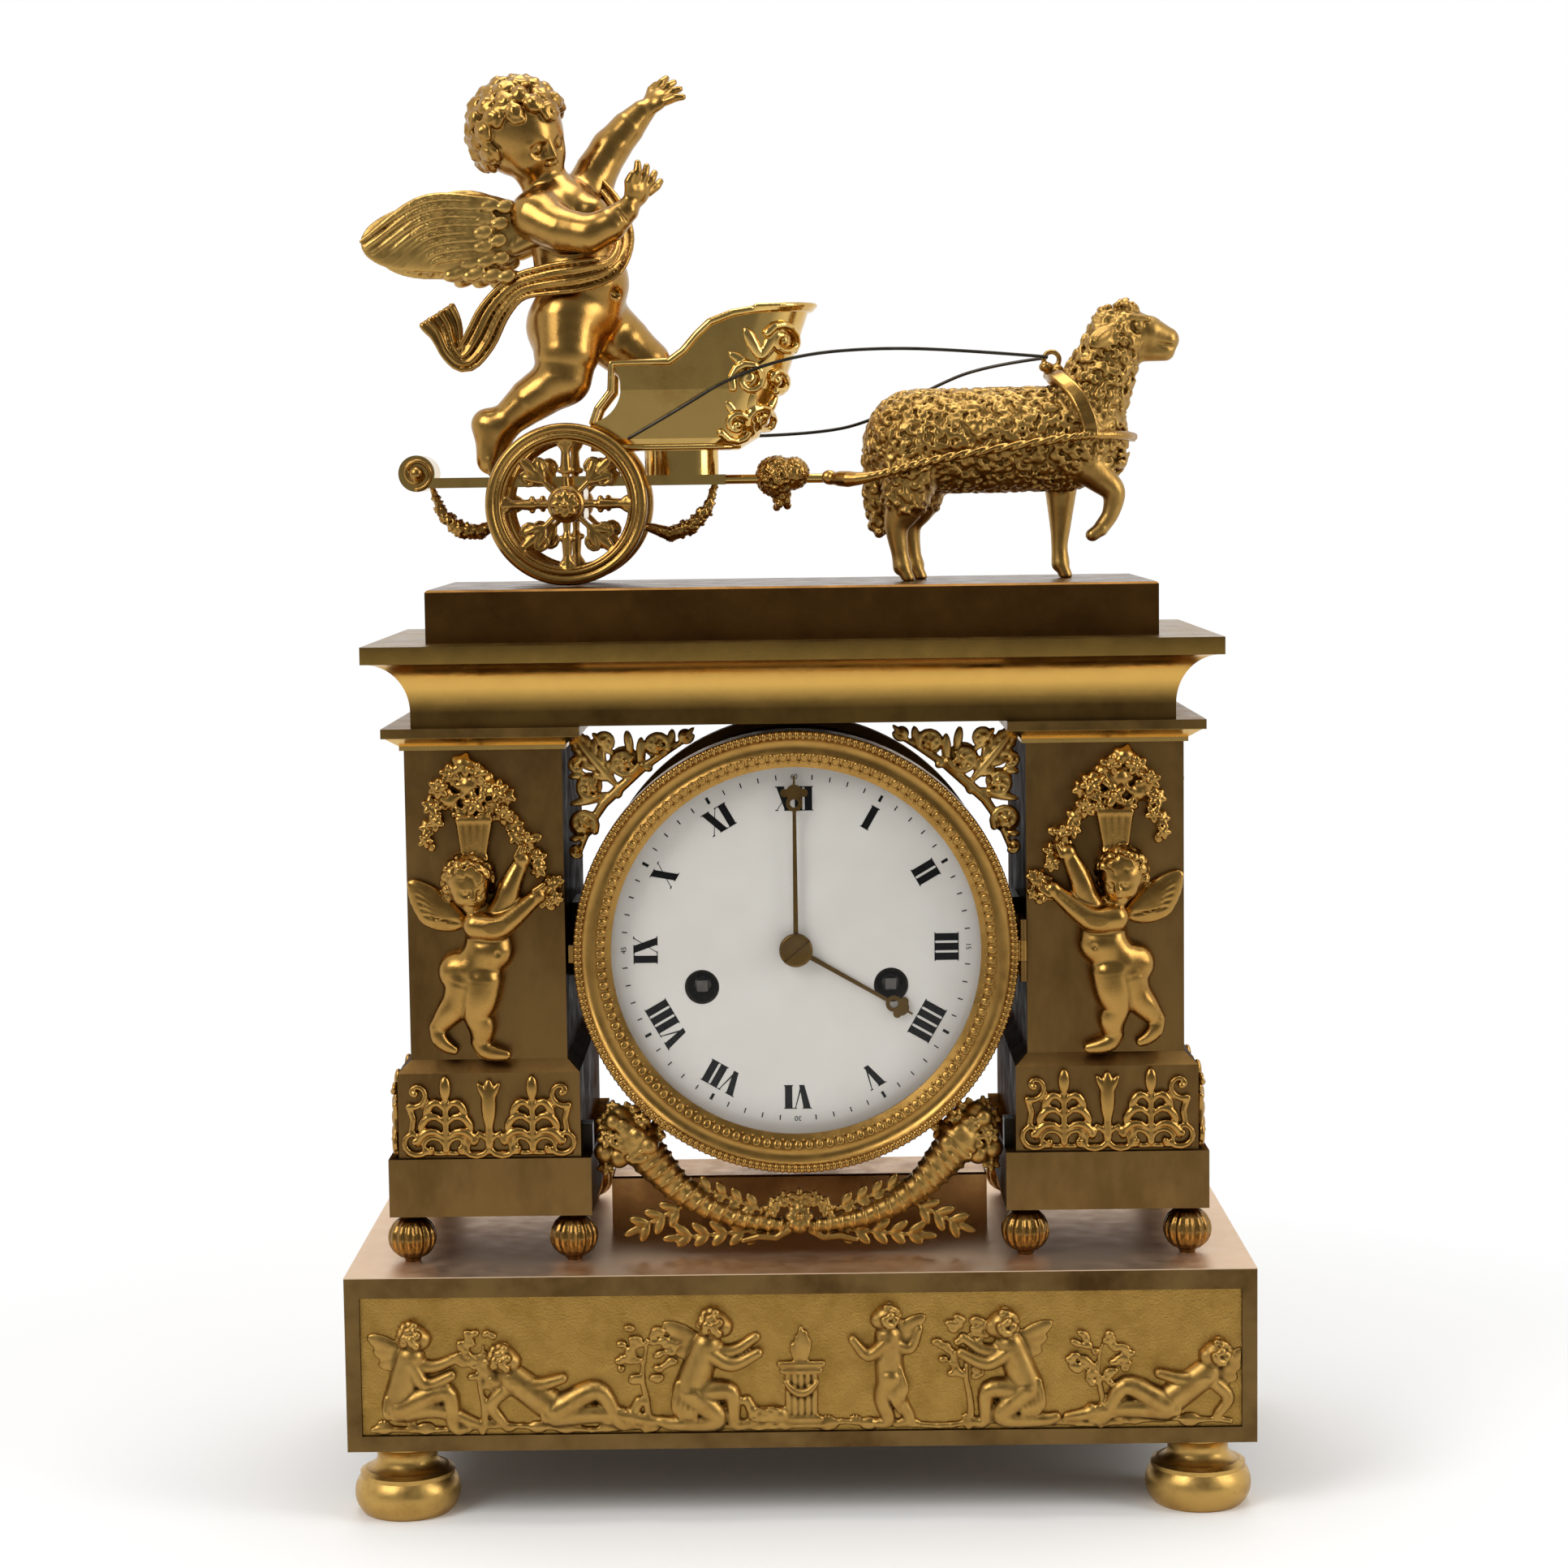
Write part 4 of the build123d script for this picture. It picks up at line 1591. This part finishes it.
# Flower-bearing figures on the pillar shafts, flat at the back
bearer_joint_shares = {
    "head": ((-0.049, 0.570), 0.094),
    "vase_foot": ((-0.046, 0.662), 0.036),
    "vase_lip": ((-0.046, 0.795), 0.062),
    "top_flower": ((-0.044, 0.905), 0.075),
    "left_flower": ((-0.136, 0.835), 0.050),
    "left_spray": ((-0.186, 0.745), 0.036),
    "right_flower": ((0.058, 0.835), 0.052),
    "right_spray": ((0.136, 0.752), 0.043),
    "right_bunch": ((0.196, 0.655), 0.046),
    "chest": ((0.006, 0.445), 0.070),
    "belly": ((-0.022, 0.300), 0.082),
    "hips": ((-0.050, 0.240), 0.080),
    "upper_elbow": ((0.112, 0.590), 0.029),
    "upper_hand": ((0.170, 0.650), 0.026),
    "lower_elbow": ((0.125, 0.500), 0.028),
    "lower_hand": ((0.215, 0.545), 0.025),
    "posy": ((0.258, 0.566), 0.044),
    "near_knee": ((-0.012, 0.120), 0.045),
    "near_ankle": ((0.0, 0.045), 0.030),
    "near_toe": ((0.040, 0.029), 0.026),
    "back_knee": ((-0.100, 0.128), 0.040),
    "back_ankle": ((-0.148, 0.062), 0.026),
    "wing_tip": ((-0.235, 0.575), 0.058),
}
bearer_limbs = (
    ("chest", "head", "vase_foot", "vase_lip", "top_flower"),
    ("top_flower", "left_flower", "left_spray"),
    ("top_flower", "right_flower", "right_spray", "right_bunch"),
    ("chest", "belly", "hips", "near_knee", "near_ankle", "near_toe"),
    ("hips", "back_knee", "back_ankle"),
    ("chest", "upper_elbow", "upper_hand"),
    ("chest", "lower_elbow", "lower_hand"),
    ("lower_hand", "posy"),
    ("chest", "wing_tip"),
)
SHAFT_FRONT = -SHAFT_DEPTH / 2


def bearer_joint(name, side):
    """A joint of the flower bearer, mirrored for the right-hand pillar."""
    (x, z), radius = bearer_joint_shares[name]
    place = (side * (PILLAR_X - x * BEARER_HEIGHT), SHAFT_FRONT, SHAFT_BOTTOM + SEAT_GAP + z * BEARER_HEIGHT)
    return place, radius * BEARER_HEIGHT


for side_name, side in SIDES.items():
    with BuildPart() as flower_bearer:
        strapwork([[bearer_joint(name, side) for name in names] for names in bearer_limbs])
        split(bisect_by=facing(SHAFT_FRONT), keep=Keep.TOP)
    keep(flower_bearer, f"flower_bearer_{side_name}")

# Palmettes on the pedestals: two leaved stems on a running scroll, at the front and the outer side
palmette_stem_shares = (-0.27, 0.27)
palmette_leaf_shares = (0.18, 0.42, 0.66)
palmette_leaf_reach_share = 0.17
palmette_leaf_rise_share = 0.16
palmette_bud_share = 0.10


def palmette(plane):
    """A running pair of palmettes standing out of a plane."""
    half = PALMETTE_WIDTH / 2
    reach = palmette_leaf_reach_share * PALMETTE_WIDTH
    rise = palmette_leaf_rise_share * PALMETTE_HEIGHT
    with BuildSketch(plane) as pattern:
        for stem_share in palmette_stem_shares:
            stem = stem_share * PALMETTE_WIDTH
            with Locations((stem, PALMETTE_HEIGHT / 2)):
                Rectangle(PALMETTE_LINE, PALMETTE_HEIGHT)
            with Locations((stem, (1 - palmette_bud_share) * PALMETTE_HEIGHT)):
                Ellipse(PALMETTE_LINE, palmette_bud_share * PALMETTE_HEIGHT)
            for leaf_share in palmette_leaf_shares:
                level = leaf_share * PALMETTE_HEIGHT
                for aside in (-1, 1):
                    with BuildLine() as leaf_line:
                        ThreePointArc(
                            (stem, level),
                            (stem + aside * reach / 2, level + rise),
                            (stem + aside * reach, level + rise / 2),
                        )
                    trace(leaf_line.line, PALMETTE_LINE)
        with BuildLine() as scroll:
            Line((-half, PALMETTE_LINE), (half, PALMETTE_LINE))
        trace(scroll.line, PALMETTE_LINE)
        with Locations((0, PALMETTE_HEIGHT / 2)):
            Rectangle(2 * PALMETTE_LINE, PALMETTE_HEIGHT - 2 * PALMETTE_LINE)
    extrude(pattern.sketch, amount=PALMETTE_RELIEF)


PALMETTE_Z = PEDESTAL_BOTTOM + (PEDESTAL_HEIGHT - PALMETTE_HEIGHT) / 2

with BuildPart() as palmette_mounts:
    for side in SIDES.values():
        palmette(facing(-PEDESTAL_DEPTH / 2, side * PILLAR_X, PALMETTE_Z))
        outer = side * (PILLAR_X + PEDESTAL_WIDTH / 2)
        side_y = (PALMETTE_WIDTH - PEDESTAL_DEPTH) / 2
        palmette(Plane(origin=(outer, side_y, PALMETTE_Z), x_dir=(0, side, 0), z_dir=(side, 0, 0)))
keep(palmette_mounts, "palmette_mounts")

# Torch trophies on the outer sides of the shafts
trophy_joint_shares = {
    "left_foot": ((-0.26, 0.0), 0.035),
    "left_grip": ((0.16, 0.66), 0.075),
    "left_flame": ((0.27, 0.86), 0.11),
    "tie": ((0.0, 0.38), 0.15),
}
trophy_limbs = (("left_foot", "left_grip", "left_flame"), ("tie", "left_grip"))
trophy_level_share = 0.58



def trophy_joint(name, side, turn):
    """A joint of a torch, on one side of the clock and leaning one way."""
    (y, z), radius = trophy_joint_shares[name]
    level = SHAFT_BOTTOM + trophy_level_share * SHAFT_HEIGHT + z * TROPHY_HEIGHT
    place = (side * (PILLAR_X + SHAFT_WIDTH / 2), turn * y * TROPHY_HEIGHT, level)
    return place, radius * TROPHY_HEIGHT + (turn + 1) * FIT_GAP


with BuildPart() as side_trophies:
    figure(
        [
            [trophy_joint(name, side, turn) for name in names]
            for side in SIDES.values()
            for turn in (-1, 1)
            for names in trophy_limbs
        ]
    )
    inner_limit = PILLAR_X + SHAFT_WIDTH / 2
    upright_block(
        -inner_limit, inner_limit, -PLINTH_DEPTH, PLINTH_DEPTH, SHAFT_BOTTOM, SHAFT_TOP, Mode.SUBTRACT
    )
keep(side_trophies, "side_trophies")

# Scrolled mounts in the corners above the dial
spandrel_curl_shares = (
    ((-0.22, -0.28), 0.20),
    ((-0.55, -0.15), 0.14),
    ((-0.80, -0.11), 0.09),
    ((-0.10, -0.62), 0.13),
    ((-0.07, -0.92), 0.085),
)
spandrel_stem_share = 0.10
SPANDREL_BACK = -DRUM_FRONT + FLANGE_THICKNESS

with BuildPart() as spandrel_mounts:
    for side in SIDES.values():
        corner_x = PILLAR_X - CAPITAL_WIDTH / 2 - SEAT_GAP
        corner_z = CAPITAL_TOP - SEAT_GAP
        curls = [
            ((side * (corner_x + x * SPANDREL_SIZE), corner_z + z * SPANDREL_SIZE), radius * SPANDREL_SIZE)
            for (x, z), radius in spandrel_curl_shares
        ]
        with BuildSketch(facing(SPANDREL_BACK)) as scroll_work:
            for place, radius in curls:
                with Locations(place):
                    Circle(radius)
            for first, second in ((0, 1), (1, 2), (0, 3), (3, 4)):
                with BuildLine() as stem_line:
                    Line(curls[first][0], curls[second][0])
                trace(stem_line.line, spandrel_stem_share * SPANDREL_SIZE)
            root = (side * (corner_x + spandrel_curl_shares[0][0][0] * SPANDREL_SIZE), corner_z)
            with BuildLine() as root_line:
                Line(curls[0][0], root)
            trace(root_line.line, spandrel_stem_share * SPANDREL_SIZE)
            for place, radius in curls:
                with Locations(place):
                    Circle(radius / 3, mode=Mode.SUBTRACT)
            with Locations((0, DIAL_Z)):
                Circle(BEZEL_RADIUS - SEAT_GAP, mode=Mode.SUBTRACT)
        extrude(scroll_work.sketch, amount=SPANDREL_THICKNESS)
keep(spandrel_mounts, "spandrel_mounts")

# Crossed horns of plenty below the dial, flat at the back
horn_joint_shares = {
    "tail": ((0.06, 0.16), 0.035),
    "bend": ((0.30, 0.17), 0.046),
    "swell": ((0.53, 0.27), 0.070),
    "throat": ((0.70, 0.43), 0.093),
    "mouth": ((0.79, 0.56), 0.108),
    "plum": ((0.885, 0.635), 0.072),
    "pear": ((0.815, 0.660), 0.058),
    "grape": ((0.935, 0.535), 0.060),
    "tie": ((0.0, 0.18), 0.070),
    "leaf_root": ((0.16, 0.10), 0.028),
    "leaf_tip": ((0.60, 0.08), 0.018),
    "ribbon_tip": ((0.24, 0.07), 0.018),
    "posy": ((0.12, 0.27), 0.050),
}
horn_limbs = (
    ("tie", "tail", "bend", "swell", "throat", "mouth", "plum"),
    ("mouth", "pear"),
    ("mouth", "grape"),
    ("tie", "leaf_root", "leaf_tip"),
    ("tie", "ribbon_tip"),
    ("tie", "posy"),
)



def horn_joint(name, side):
    """A joint of a horn of plenty, on one side of the middle."""
    (x, z), radius = horn_joint_shares[name]
    place = (side * x * HORN_SPREAD, HORN_Y, PLINTH_TOP + z * HORN_SPREAD)
    return place, radius * HORN_SPREAD + (side + 1) * FIT_GAP


with BuildPart() as horn_mount:
    figure([[horn_joint(name, side) for name in names] for side in SIDES.values() for names in horn_limbs])
    split(bisect_by=facing(HORN_Y), keep=Keep.TOP)
keep(horn_mount, "horn_mount")
